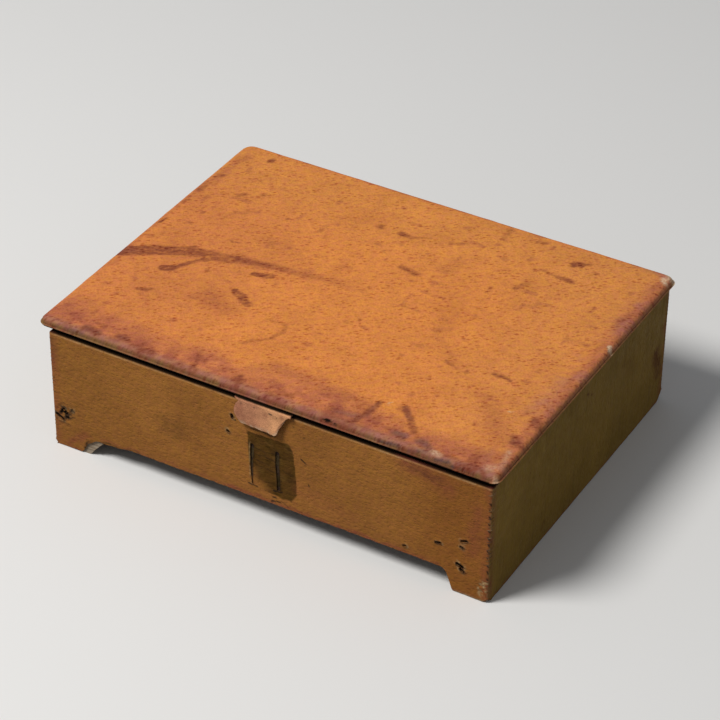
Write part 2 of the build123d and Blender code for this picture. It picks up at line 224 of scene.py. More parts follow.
def make(name, points, faces, body, material, fields=(), stands_for=(), turn=40):
    """A mesh object in the frame, riding on a body. Edges bent by more than a turn stay sharp."""
    mesh = bpy.data.meshes.new(name)
    corners = [tuple(dict.fromkeys(face)) for face in faces.tolist()]
    mesh.from_pydata((points * MM).tolist(), [], corners)
    for key, value in dict(fields).items():
        data = np.column_stack([value, np.ones(len(points))]).astype(np.float32)
        mesh.attributes.new(key, "FLOAT_COLOR", "POINT").data.foreach_set("color", data.ravel())
    mesh.polygons.foreach_set("use_smooth", [True] * len(mesh.polygons))
    mesh.set_sharp_from_angle(angle=math.radians(turn))
    mesh.materials.append(material)
    piece = bpy.data.objects.new(name, mesh)
    bpy.context.scene.collection.objects.link(piece)
    if body:
        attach(piece, body)
    if stands_for:
        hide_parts(*stands_for)
    return piece


def tube(path, radius, sides=7):
    """A round thread with closed ends along points."""
    ahead = np.gradient(path, axis=0)
    ahead /= np.linalg.norm(ahead, axis=1)[:, None]
    side = np.cross(ahead, (0.31, 0.17, 0.93))
    side /= np.linalg.norm(side, axis=1)[:, None]
    up = np.cross(ahead, side)
    turn = (np.arange(sides) * 2 * math.pi / sides)[:, None]
    girth = radius * (1 - np.abs(np.linspace(-1, 1, len(path))) ** 6 * 0.75)
    ring = side[:, None] * np.cos(turn) + up[:, None] * np.sin(turn)
    points = (path[:, None] + ring * girth[:, None, None]).reshape(-1, 3)
    first, last = np.arange(sides), np.arange(sides)[::-1] + len(path) * sides - sides
    caps = []
    for loop, tip in ((first, len(points)), (last, len(points) + 1)):
        tips = np.full(sides, tip)
        caps.append(np.stack([loop, tips, tips, np.roll(loop, -1)], 1))
    points = np.concatenate([points, path[:1], path[-1:]])
    return points, np.concatenate([ring_faces(len(path), sides), *caps])


def together(parts):
    """Several meshes as one."""
    counts = np.cumsum([0] + [len(points) for points, _ in parts])
    faces = [faces + start for (_, faces), start in zip(parts, counts)]
    return np.concatenate([points for points, _ in parts]), np.concatenate(faces)


# ------------------------------------------------------------------ materials


class Value:
    """A node's output, which sums and products are made from."""

    def __init__(self, nodes, socket):
        self.nodes, self.socket = nodes, socket

    def __add__(self, other):
        return self.nodes.math("ADD", self, other)

    def __sub__(self, other):
        return self.nodes.math("SUBTRACT", self, other)

    def __mul__(self, other):
        return self.nodes.math("MULTIPLY", self, other)


class Nodes:
    """A node tree built by short calls. Sizes of patterns are millimetres."""

    def __init__(self, tree):
        self.tree = tree
        tree.nodes.clear()

    def link(self, source, target):
        """Joins an output to an input, or sets the input to a plain value."""
        if isinstance(source, Value):
            self.tree.links.new(source.socket, target)
        else:
            target.default_value = source

    def add(self, kind, sources=(), **settings):
        """A node of a kind, with sources by the names or numbers of its inputs."""
        node = self.tree.nodes.new("ShaderNode" + kind)
        for key, value in settings.items():
            setattr(node, key, value)
        for key, source in dict(sources).items():
            self.link(source, node.inputs[key])
        return node

    def value(self, output, kind, sources=(), **settings):
        """The output of a new node, by its name or number."""
        return Value(self, self.add(kind, sources, **settings).outputs[output])

    def math(self, operation, a, b=0.0, c=0.0, clamp=False):
        return self.value(0, "Math", {0: a, 1: b, 2: c}, operation=operation, use_clamp=clamp)

    def clipped(self, a, b):
        """The product of two values, held between 0 and 1."""
        return self.math("MULTIPLY", a, b, clamp=True)

    def seen(self):
        """1 for what the camera sees, straight or by a reflection or through glass."""
        path = self.add("LightPath").outputs
        kinds = ("Camera", "Glossy", "Transmission")
        camera, glossy, through = (Value(self, path[f"Is {kind} Ray"]) for kind in kinds)
        return self.math("MAXIMUM", camera, self.math("MAXIMUM", glossy, through))


class Surface(Nodes):
    """A material of one principled shader."""

    def __init__(self, name, **sockets):
        self.material = bpy.data.materials.new(name)
        self.material.use_nodes = True
        super().__init__(self.material.node_tree)
        self.shader = self.add("BsdfPrincipled", {key.replace("_", " "): v for key, v in sockets.items()})
        self.add("OutputMaterial", {"Surface": Value(self, self.shader.outputs[0])})
        self.place = self.value("Object", "TexCoord")

    def finish(self, colour, roughness, height, depth):
        """Sets the colour and roughness, and bumps of a depth in millimetres from a height."""
        self.link(colour, self.shader.inputs["Base Color"])
        self.link(roughness, self.shader.inputs["Roughness"])
        normal = self.value(0, "Bump", {"Distance": depth * MM, "Strength": 1.0, "Height": height})
        self.link(normal, self.shader.inputs["Normal"])
        return self.material

    def painted(self):
        """The base colour and the dark, red and pale marks of a mesh. Dark places shine less."""
        tint, marks = (self.value("Color", "Attribute", attribute_name=name) for name in ("tint", "marks"))
        shine = self.step(self.split(tint)[0], 0.02, 0.3, 0.0, 0.1)
        self.link(shine, self.shader.inputs["Specular IOR Level"])
        return tint, *self.split(marks)

    def split(self, source):
        """The red, green and blue parts of a colour."""
        return [Value(self, output) for output in self.add("SeparateColor", {0: source}).outputs[:3]]

    def stretch(self, scale, source=None):
        """A place with each axis scaled."""
        sources = {0: source or self.place, 1: scale}
        return self.value(0, "VectorMath", sources, operation="MULTIPLY")

    def laid(self, first, second, angle):
        """A face's own two directions, by their axes, as a place on a plane turned by an angle."""
        parts = self.add("SeparateXYZ", {0: self.place}).outputs
        joined = self.value(0, "CombineXYZ", {0: Value(self, parts[first]), 1: Value(self, parts[second])})
        sources = {"Vector": joined, "Angle": -math.radians(angle)}
        return self.value(0, "VectorRotate", sources, rotation_type="Z_AXIS")

    def dashes(self, source, size, long, short):
        """Short strokes along a laid place, one to a cell, each with its own weight."""
        sources = {"Vector": source, "Scale": 1000 / size}
        cell = self.add("TexVoronoi", sources, voronoi_dimensions="2D").outputs
        sources = {0: source, 1: Value(self, cell["Position"])}
        away = self.value(0, "VectorMath", sources, operation="SUBTRACT")
        scaled = self.stretch((1 / (long * MM), 1 / (short * MM), 0.0), away)
        reach = self.value("Value", "VectorMath", {0: scaled}, operation="LENGTH")
        weight = self.step(self.split(Value(self, cell["Color"]))[0], 0.1, 0.9, 0.25, 1.0)
        return self.step(reach, 1.25, 0.25) * weight

    def push(self, source, amount, size):
        """A place moved about by noise."""
        cloud = self.value("Color", "TexNoise", {"Vector": source, "Scale": 1000 / size})
        sources = {0: cloud, 1: (amount * MM,) * 3, 2: source}
        return self.value(0, "VectorMath", sources, operation="MULTIPLY_ADD")

    def cloud(self, size, detail, source=None):
        """Soft noise with bumps of a size."""
        sources = {"Vector": source or self.place, "Scale": 1000 / size, "Detail": detail, "Roughness": 0.55}
        return self.value("Fac", "TexNoise", sources)

    def cells(self, size, source):
        """The distance to the nearest of scattered points, a size apart."""
        return self.value("Distance", "TexVoronoi", {"Vector": source, "Scale": 1000 / size})

    def step(self, value, low, high, start=0.0, end=1.0):
        """A soft step from start, at low, to end, at high."""
        sources = {"Value": value, "From Min": low, "From Max": high, "To Min": start, "To Max": end}
        return self.value("Result", "MapRange", sources, interpolation_type="SMOOTHSTEP")

    def patches(self, size, detail, *levels):
        """Soft noise with a soft step laid on it."""
        return self.step(self.cloud(size, detail), *levels)

    def mix(self, factor, a, b, blend="MIX"):
        a, b = (colour if isinstance(colour, Value) else (*colour, 1.0) for colour in (a, b))
        sources = {"Factor": factor, "A": a, "B": b}
        return self.value("Result", "Mix", sources, data_type="RGBA", blend_type=blend)

    def shaded(self, colour, shade):
        """A colour made lighter or darker by a value."""
        grey = self.value(0, "CombineXYZ", {0: shade, 1: shade, 2: shade})
        return self.mix(1.0, colour, grey, "MULTIPLY")


def pigskin(name, first, second, angle, pores, warmth, rough, pebble_size, stain, rubbed):
    """Old vegetable-tanned pigskin: pores in short dashes, a warm mottle, stains and rubbed places."""
    s = Surface(name)
    tint, dark, red, pale = s.painted()
    plane = s.laid(first, second, angle)
    pore = s.dashes(s.push(plane, 2.2, 6.0), 4.0, 1.75, 0.85)
    fine_pore = s.dashes(s.push(plane, 1.2, 2.5), 2.5, 1.0, 0.5)
    mottle = s.step(s.cloud(3.4, 3.0, s.stretch((0.6, 1.0, 1.0), plane)), 0.36, 0.64)
    gold = [1.0 + shift * warmth for shift in (0.03, 0.05, -0.08)]
    rosy = [1.0 + shift * warmth for shift in (-0.03, -0.1, 0.1)]
    colour = s.mix(mottle, s.mix(1.0, tint, gold, "MULTIPLY"), s.mix(1.0, tint, rosy, "MULTIPLY"))
    shade = s.patches(34.0, 3.0, 0.3, 0.7, 0.95, 1.05) + s.patches(7.0, 3.0, 0.3, 0.7, -0.05, 0.05)
    shade = shade + s.patches(pebble_size * 0.7, 2.0, 0.3, 0.7, -0.045, 0.045)
    colour = s.shaded(colour, shade)
    soaked = s.math("MULTIPLY_ADD", s.math("MAXIMUM", red, dark), 0.9, 1.0)
    dash = (pore + fine_pore * 0.45) * s.patches(11.0, 2.0, 0.34, 0.62, 0.35, 1.0) * soaked
    uneven = s.step(s.cloud(2.4, 3.0, s.stretch((0.5, 1.0, 1.0), plane)), 0.28, 0.66, 0.62, 1.4)
    colour = s.mix(s.clipped(red, uneven), colour, s.mix(0.66, colour, (0.25, 0.055, 0.04)))
    dark_part = s.clipped(dark, uneven)
    colour = s.mix(dark_part, colour, s.mix(0.9, colour, stain))
    pore_colour = s.mix(1.0, colour, (0.64, 0.42, 0.36), "MULTIPLY")
    colour = s.mix(s.clipped(dash, pores), colour, pore_colour)
    pale_part = s.clipped(pale, s.patches(1.7, 3.0, 0.3, 0.62, 0.35, 1.3))
    colour = s.mix(pale_part, colour, rubbed)
    roughness = s.patches(6.0, 3.0, 0.3, 0.7, rough - 0.06, rough + 0.08) + dark_part * 0.1
    pebble = s.step(s.cells(pebble_size, s.push(s.place, 0.9, 2.2)), 0.1, 0.75, 1.0, 0.0)
    height = pebble * 0.4 + s.cloud(5.5, 3.0) * 1.4 - s.math("MAXIMUM", pore, fine_pore) * 0.5
    return s.finish(colour, roughness, height - pale_part * 0.3, 0.3)


def worn_leather(name):
    """Thick leather or thread worn to its fibres."""
    s = Surface(name)
    tint, dark, red, pale = s.painted()
    fibre = s.cloud(0.8, 3.0, s.push(s.place, 1.5, 3.0))
    mottle = s.cloud(4.0, 4.0)
    shade = s.step(fibre, 0.3, 0.7, 0.86, 1.08) + s.step(mottle, 0.3, 0.7, -0.1, 0.1)
    colour = s.shaded(tint, shade)
    for mark, stain in ((red, (0.3, 0.1, 0.06)), (pale, (0.74, 0.52, 0.34)), (dark, (0.05, 0.03, 0.025))):
        colour = s.mix(mark, colour, stain)
    return s.finish(colour, s.step(mottle, 0.3, 0.7, 0.6, 0.8), fibre * 0.8 + mottle, 0.3)


def wood(name, axis, light, deep):
    """Old softwood with the grain along one axis: bands of late wood, fibres and grime."""
    s = Surface(name, Specular_IOR_Level=0.25)
    scale = [0.045 if k == axis else 1.0 for k in range(3)]
    long = s.stretch(scale, s.push(s.place, 5.0, 60.0))
    late = s.step(s.math("PINGPONG", s.cloud(5.2, 1.0, long) * 9.0, 1.0), 0.35, 0.95)
    fibre = s.cloud(0.7, 2.0, long)
    colour = s.mix(s.step(fibre, 0.35, 0.7, 0.0, 0.5), s.mix(late, light, deep), [0.55 * c for c in deep])
    colour = s.mix(s.patches(22.0, 4.0, 0.42, 0.75, 0.0, 0.55), colour, (0.11, 0.075, 0.045))
    return s.finish(colour, s.step(fibre, 0.3, 0.7, 0.68, 0.88), fibre * 0.7 + late * 0.35, 0.25)


def paper(name):
    """Hand-made lining paper gone brown, with foxing and rubbed fibres."""
    s = Surface(name, Specular_IOR_Level=0.2)
    mottle = s.cloud(5.0, 4.0)
    fibre = s.cloud(0.9, 3.0, s.stretch((1.0, 0.35, 0.6), s.push(s.place, 1.5, 2.0)))
    fox = s.step(s.cells(9.0, s.push(s.place, 2.0, 3.0)), 0.17, 0.05) * s.patches(26.0, 1.0, 0.5, 0.62)
    colour = s.mix(s.patches(45.0, 4.0, 0.3, 0.72), (0.56, 0.43, 0.27), (0.38, 0.26, 0.14))
    for weight, other in (
        (s.step(mottle, 0.35, 0.75, 0.0, 0.4), (0.30, 0.19, 0.1)),
        (s.step(fibre, 0.5, 0.75, 0.0, 0.35), (0.66, 0.54, 0.38)),
        (fox * 0.75, (0.2, 0.085, 0.03)),
    ):
        colour = s.mix(weight, colour, other)
    return s.finish(colour, s.step(fibre, 0.3, 0.7, 0.8, 0.94), fibre + mottle * 1.4, 0.12)


def metal(name, bright, dull, rust, rough, metallic):
    """Tarnished metal: bright where hands and wear reach, dull elsewhere, with small pits."""
    s = Surface(name, Metallic=metallic)
    tarnish = s.cloud(6.0, 5.0)
    colour = s.mix(s.step(tarnish, 0.38, 0.66), bright, dull)
    colour = s.mix(s.patches(2.3, 4.0, 0.56, 0.72), colour, rust)
    pits = s.step(s.cells(1.3, s.push(s.place, 0.6, 1.0)), 0.25, 0.1)
    scratch = s.cloud(0.5, 2.0, s.stretch((1.0, 0.05, 1.0)))
    return s.finish(colour, s.step(tarnish, 0.35, 0.7, rough, rough + 0.25), scratch * 0.5 - pits * 0.6, 0.05)


BLACK_STAIN, RED_STAIN, TAN_STAIN = (0.022, 0.014, 0.01), (0.22, 0.055, 0.026), (0.11, 0.04, 0.012)
GOLD_RUB, CREAM_RUB = (0.46, 0.31, 0.15), (0.68, 0.47, 0.3)
LID_SKIN = pigskin("lid_pigskin", 0, 1, 37.0, 0.85, 1.0, 0.58, 1.9, RED_STAIN, CREAM_RUB)
FRONT_SKIN = pigskin("front_pigskin", 0, 2, -6.0, 0.12, 0.6, 0.64, 3.2, BLACK_STAIN, GOLD_RUB)
SIDE_SKIN = pigskin("side_pigskin", 1, 2, 80.0, 0.3, 0.5, 0.68, 2.6, TAN_STAIN, GOLD_RUB)
STRAP_SKIN, THREAD, FIBRE = (worn_leather(name) for name in ("strap_leather", "waxed_thread", "loose_fibres"))
WOOD_X = wood("softwood_lengthways", 0, (0.43, 0.345, 0.25), (0.30, 0.215, 0.14))
WOOD_Y = wood("softwood_crossways", 1, (0.42, 0.335, 0.24), (0.29, 0.205, 0.135))
PAPER = paper("lining_paper")
BRASS = metal("hinge_brass", (0.46, 0.31, 0.12), (0.22, 0.145, 0.06), (0.09, 0.075, 0.04), 0.36, 0.95)
IRON = metal("brad_iron", (0.16, 0.145, 0.13), (0.07, 0.06, 0.055), (0.13, 0.05, 0.025), 0.45, 0.8)


# ------------------------------------------------------------------ case cover

# Wear of the feet at the front-left, front-right, back-right and back-left corners: how far along each
# edge it reaches.
FOOT_WEAR, WEAR_BALL = (3.6, 4.4, 8.0, 0.0), 30.0


def halves(side):
    """Half the run of a side, and how far out it lies: 0 front, 1 right, 2 back, 3 left."""
    return (HALF_DEPTH, HALF_WIDTH) if side % 2 else (HALF_WIDTH, HALF_DEPTH)


def filleted(points, radii, steps=8):
    """A run of lines with its inner corners rounded."""
    points = np.array(points, float)
    result = [points[:1]]
    for before, here, after, radius in zip(points, points[1:], points[2:], radii):
        a = (before - here) / np.linalg.norm(before - here)
        b = (after - here) / np.linalg.norm(after - here)
        half = math.acos(a @ b) / 2
        centre = here + (a + b) / np.linalg.norm(a + b) * radius / math.sin(half)
        first, last = (here + way * radius / math.tan(half) - centre for way in (a, b))
        mid = first + (last - first) * np.linspace(0, 1, steps)[:, None]
        result.append(centre + mid / np.linalg.norm(mid, axis=1)[:, None] * radius)
    return np.concatenate([*result, points[-1:]])


ARCH = filleted([(0, 16.5), (133.5, 16.5), (139.5, 0), (HALF_WIDTH + 9, 0)], [5.5, 2.5])
TORN_TOE = np.array([
    (-143.8, 0.0), (-141.7, 2.2), (-139.8, 5.8), (-138.8, 7.6), (-137.2, 9.1), (-134.7, 10.9), (-133.0, 12.4),
    (-130.5, 13.8), (-128.0, 14.1), (-123.5, 14.0), (-119.0, 14.3), (-111.5, 14.9), (-102.5, 16.5),
])


def lower_edge(x, side):
    """Height of the leather's lower edge along a side. The front's is ragged, and torn at its left foot."""
    if side % 2:
        return np.full(len(x), 0.5)
    low = np.interp(np.abs(x), *ARCH.T)
    if side == 0:
        low = np.where(x < TORN_TOE[-1, 0], np.interp(x, *TORN_TOE.T), low)
        low += 0.35 * noise(flat(x, 0 * x), 3.1, 20) * (np.abs(x) < HALF_WIDTH - 4)
    return np.maximum(low, 0.5)


def rim_section():
    """The panel's section above its upright face: inset and height, over the rim and down inside."""
    turn, inner = np.linspace(0, math.pi / 2, 6), np.linspace(0, math.pi / 2, 4)[1:]
    rows = [(RIM_ROUND * (1 - math.cos(t)), CASE_TOP - RIM_ROUND * (1 - math.sin(t))) for t in turn]
    rows += [(inset, CASE_TOP) for inset in np.linspace(RIM_ROUND, RIM_WIDTH - INNER_ROUND, 8)[1:]]
    for t in inner:
        rows.append((RIM_WIDTH - INNER_ROUND * (1 - math.sin(t)), CASE_TOP - INNER_ROUND * (1 - math.cos(t))))
    return rows + [(RIM_WIDTH, z) for z in np.linspace(CASE_TOP - INNER_ROUND, TURN_IN_BOTTOM, 6)[1:]]


def panel(side, pitch):
    """One side of the cover as if it were the front: its run along X, seen from -Y."""
    half_run, half_other = halves(side)
    straight = half_run - CORNER_ROUND
    arcs = np.linspace(0, math.pi / 4, 5)[1:]
    run = np.linspace(-straight, straight, round(2 * straight / pitch) + 1)
    turn = np.concatenate([-arcs[::-1], 0 * run, arcs])
    run = np.concatenate([0 * arcs - straight, run, 0 * arcs + straight])
    low = lower_edge(run + CORNER_ROUND * np.sin(turn), side)
    face_top = CASE_TOP - RIM_ROUND
    rise = np.linspace(0, 1, round(face_top / pitch) + 1)[:-1]
    rows = []
    for inset, z in [(0.0, low + (face_top - low) * v) for v in rise] + rim_section():
        past, radius = max(inset - CORNER_ROUND, 0), max(CORNER_ROUND - inset, 0)
        x = run * (straight - past) / straight + radius * np.sin(turn)
        y = -(half_other - CORNER_ROUND - past) - radius * np.cos(turn)
        rows.append(np.stack([x, y, z + 0 * x], 1))
    points, faces = np.concatenate(rows), grid_faces(len(rows), len(run))[:, ::-1]
    _, first, back = np.unique(np.round(points, 4), axis=0, return_index=True, return_inverse=True)
    faces = back.reshape(-1)[faces]
    corners = 1 + (np.diff(np.sort(faces, axis=1), axis=1) > 0).sum(1)
    return points[first], faces[corners >= 3]


def turned(points, side):
    """Points of the front turned round to another side."""
    c, s = (round(f(side * math.pi / 2)) for f in (math.cos, math.sin))
    return points @ np.array([(c, s, 0), (-s, c, 0), (0, 0, 1)], float)


def outside(spots, holes):
    """How far outside the nearest hole each place is. A hole is its radius, then its line's points."""
    return np.min([along(spots, line)[0] - radius for radius, *line in holes], axis=0)


def unworn(points, side):
    """How far inside the worn bottom corners of a side's feet each place is."""
    half_run, half_other = halves(side)
    best = np.full(len(points), 1e9)
    for end, wear in ((-1, FOOT_WEAR[side]), (1, FOOT_WEAR[(side + 1) % 4])):
        if wear:
            centre = (end * (half_run - WEAR_BALL), WEAR_BALL - half_other, WEAR_BALL)
            radius = math.sqrt(2 * WEAR_BALL**2 + (WEAR_BALL - wear) ** 2)
            here = (points[:, 0] * end > half_run - 14) & (points[:, 2] < 14)
            best = np.where(here, radius - np.linalg.norm(points - centre, axis=1), best)
    return best


def pierced(points, faces, side, holes, pitch):
    """A panel with its holes and worn corners cut away, and the cut edges drawn onto their outline."""

    def away(places):
        best = unworn(places, side)
        if holes:
            best = np.minimum(best, outside(places[:, ::2], holes))
        return best + 0.12 * noise(places, 1.3, 30 + side)

    outer = (points[:, 1] < 0.7 - halves(side)[1]) & (points[:, 2] < CASE_TOP - 3)
    step = 0.05
    for _ in range(3):
        d = away(points)
        slope = np.stack([away(points + shift) - d for shift in ((step, 0, 0), (0, 0, step))], 1) / step
        near = outer & (np.abs(d) < 0.62 * pitch)
        move = d[:, None] * slope / np.maximum((slope**2).sum(1), 0.2)[:, None]
        points[near, ::2] -= move[near]
    d = away(points)
    gone = (away(points[faces].mean(1)) < 0) & np.all((d[faces] < 0.08) & outer[faces], axis=1)
    return points, faces[~gone]


# Holes through the front's leather, as seen from the front: worm holes by the right foot and nail holes
# beside the strap, gnawed holes at the left edge, and the two slits.
ROUND_HOLES = [
    (0.85, 104, 22.1, 105.3, 22.5), (0.95, 127, 34.3, 129.8, 35), (1.05, 145, 42.3, 148.2, 43.5),
    (0.85, 144.4, 37.7, 145.9, 37.2), (1.35, 142.4, 23.4, 145.8, 22), (1.1, 144.8, 19.8, 147, 18.5),
    (1.05, -26.4, 62.8, -25.6, 62), (1, -22.9, 76.8, -22.6, 75),
]
GNAWED = [
    (0.9, -162.2, 25.2, -160.4, 23.6), (0.7, -160, 23.4, -157.2, 22.3),
    (0.95, -158.8, 27.6, -156.6, 30.8), (0.7, -156.2, 28, -154.6, 29.6),
    (0.6, -154.8, 27.2, -152.8, 28.6), (0.75, -154.6, 24.6, -153.2, 24.9),
    (0.5, -150.4, 32, -149.6, 32.4),
]
SLITS = [
    (1.25, -7.9, 58.4, -8.2, 50), (1, -8.2, 50, -8.6, 42), (0.75, -8.6, 42, -8.4, 34),
    (0.45, -8.4, 34, -8.1, 27.6), (1.4, 10.9, 58.6, 10.8, 48), (1.3, 10.8, 48, 11.5, 38),
    (1.25, 11.5, 38, 11.6, 29.6),
]
PATCH = [(-11.3, 68.2), (19.7, 69.0), (22.7, 64.5), (25.6, 30.0), (21.0, 23.0), (-10.1, 24.5)]

# Marks, as half width, softness, strength and end strength, then the points of their line.
FRONT_DARK = [
    (7, 7, 0.24, 0.24, -75, 50, -66, 49), (3, 3, 0.25, 0.3, 108, 85.5, 128, 84),
    (3, 4, 0.3, 0.1, -163.5, 84, -160.5, 70),
    # Painted shadow along the arch's edge at the left foot, under its rolled edge.
    (0.8, 0.9, 0.8, 0.4, -140.3, 5, -138, 8.8, -132.4, 13.2, -125.7, 14.8, -114.7, 16.2, -98, 16.6),
]
FRONT_RED = [
    (6.5, 5, 0.6, 0.45, 104, 88, 121, 85, 133.3, 79),
    (5, 5, 0.5, 0.45, 156.5, 70, 155.6, 55, 152.7, 37.1),
    (4, 7, 0.3, 0.25, 27.7, 36, 50, 30.8, 64.7, 27.6), (3, 3, 0.55, 0.55, -140, 14, -152, 4),
    (1.2, 2.6, 0.6, 0.7, -163.5, 75, -163.5, 5), (0.8, 1.6, 0.55, 0.4, -128, 17.5, -30, 17.5),
    (1.4, 1.8, 0.8, 0.75, -30, 17.3, 128, 17.3),
]
FRONT_SPOTS = [
    (0.5, 0.4, 1, 1, 6.8, 22, 9.8, 22.2), (0.75, 0.45, 1, 1, 6.3, 18.2, 9.2, 18.9),
    (0.45, 0.4, 0.95, 0.95, 10.3, 19.8, 13.4, 19.3), (0.35, 0.35, 0.9, 0.7, 14.4, 20.4, 18.6, 18.4),
    (0.5, 0.35, 1, 1, 28.8, 60.6, 32.2, 58.2), (0.6, 0.5, 0.8, 0.8, 22.8, 84.3),
    (0.55, 0.5, 0.75, 0.75, 30.8, 78.4), (0.6, 0.45, 0.9, 0.9, 34.2, 42.3, 34.6, 41.4),
    (0.6, 0.5, 0.5, 0.5, 34.4, 81.7), (0.55, 0.4, 1, 1, -11, 26.2, -5.2, 25.7),
    (0.6, 0.4, 1, 1, 8.1, 27.3, 14.2, 28.6), (0.65, 0.45, 1, 1, -20.6, 73.4),
    (0.5, 0.4, 0.8, 0.8, -24.5, 67.5),
    # Painted shadow: a dark line on the front just below the strap's torn end.
    (0.45, 0.4, 0.9, 0.9, -9.5, 71.2, -2, 71.9, 1.9, 71.4, 6.3, 70.6, 8.8, 71.3, 10.8, 73.2),
    (1.3, 0.7, 1, 1, -163.6, 25.6, -157, 21.6), (1.3, 0.7, 1, 1, -159.3, 26.8, -156.3, 31.5),
    (1, 0.7, 1, 0.9, -155.5, 23.4, -154.2, 28.5, -155.2, 32.5),
    (0.9, 0.7, 1, 0.8, -153.4, 25.5, -152, 28.5, -149.2, 32.6),
    (0.6, 0.6, 0.9, 0.6, -151.5, 24.5, -147.5, 27), (0.7, 1.2, 0.6, 0.5, -160.5, 19.5, -152, 19),
    (0.3, 0.5, 0.8, 0.6, -5.8, 56.7, 2.5, 55.9, 9, 57),
    (0.3, 0.5, 0.7, 0.8, -5.1, 51.3, 1, 52.6, 8.8, 51.2), (0.3, 0.45, 0.7, 0.5, -4.4, 47.5, 5.3, 46.5),
    (0.3, 0.5, 0.6, 0.6, -5.2, 43.2, 5.3, 42.5, 9, 43), (0.3, 0.5, 0.5, 0.4, 14.5, 58, 22, 57),
    (0.3, 0.5, 0.5, 0.4, 14.5, 46, 23, 44),
]
SLIT_STAINS = [
    (1.2, 0.5, 1, 1, -8.4, 59.3, -7.7, 57.1), (0.7, 0.5, 1, 1, -9.9, 51.1, -9.7, 47.5, -7.8, 46.2),
    (0.5, 0.6, 0.85, 1, -8.4, 43, -8.2, 27), (1.6, 0.5, 1, 1, 10.7, 60.2, 10.7, 58.6),
    (1.2, 0.5, 1, 1, 10.2, 47.2), (1.4, 0.7, 0.7, 0.7, 11.4, 45, 11.4, 42),
    (0.8, 0.5, 0.9, 0.9, 12.7, 35.7), (0.9, 0.5, 0.95, 1, 11.2, 31, 11.2, 28.5),
]
SIDE_STAINS = {
    1: [
        (5, 3.5, 0.95, 0.6, 113, 47, 114.5, 40, 118, 27), (0.8, 0.8, 0.9, 0.8, 3.4, 80.7, 5.5, 78.6),
        (0.7, 0.8, 0.9, 0.8, 8.3, 77.4, 10.6, 76.6), (1.2, 1.5, 0.5, 0.5, -50.6, 14.3, -55.6, 7.8),
        (4, 9, 0.3, 0.2, 60, 70, 75, 60),
    ],
    2: [
        (5, 9, 0.35, 0.3, 40, 40, 60, 25), (1.6, 2, 0.4, 0.2, -120, 70, -112, 20),
        (2, 3, 0.4, 0.2, -20, 60, 10, 66),
    ],
    3: [
        (4, 8, 0.4, 0.3, -60, 55, -40, 50), (1.2, 1.6, 0.6, 0.4, 70, 30, 82, 22),
        (1, 1.4, 0.6, 0.3, 20, 75, 24, 64),
    ],
}
# The right side's tint is darker and more olive than the others: partly its own leather, partly painted cool
# shade for that side.
SIDE_TINTS = ((0.37, 0.152, 0.033), (0.262, 0.158, 0.031), (0.33, 0.158, 0.032), (0.31, 0.142, 0.03))


def inside_outline(x, z, corners):
    """Signed distance into a convex outline given clockwise, seen from the front."""
    best = np.full(len(x), 1e9)
    for (ax, az), (bx, bz) in zip(corners, corners[1:] + corners[:1]):
        dx, dz = bx - ax, bz - az
        best = np.minimum(best, ((x - ax) * dz - (z - az) * dx) / math.hypot(dx, dz))
    return best


def edge_wear_and_rim_shade(skin):
    """Wear that every side shares: a pale line below the rim, a red-stained foot line, red corners; and
    painted shade, which makes the rim dark in the gap under the lid.
    """
    x, y, z = skin.points.T
    uneven = noise(skin.points, 9.0, 21)
    in_x, in_y = HALF_WIDTH - np.abs(x), HALF_DEPTH - np.abs(y)
    outer = (in_x < 3) | (in_y < 3)
    line = smooth(z, 89.1, 89.8) * smooth(-z, -90.6, -90.2) * (0.6 + 0.5 * uneven)
    skin.mark(PALE, np.clip(line, 0, 1) * outer * 0.5)
    corner = np.minimum(np.abs(in_x), 40) + np.minimum(np.abs(in_y), 40)
    skin.mark(RED, smooth(-corner, -9.0, -2.0) * (0.4 + 0.4 * uneven))
    skin.mark(PALE, smooth(-corner, -1.9, -0.9) * skin.patches(2.0, 22, -0.5, 0.5) * 0.55 * outer)
    skin.mark(RED, smooth(-z, -3.5, -0.5) * outer * (0.5 + 0.4 * uneven))
    rim_brown = (0.2, 0.085, 0.03)
    skin.coat(
        (rim_brown, smooth(z, 90.0, 90.7) * 0.9),
        (rim_brown, ((in_x > 10.5) & (in_y > 10.5)) * 0.9),
        # Painted shade: near black on the rim's outer part, where the gap under the lid falls dark.
        (SHADE, smooth(z, 90.2, 90.8) * smooth(-np.minimum(in_x, in_y), -9.0, -6.0) * 0.96),
    )


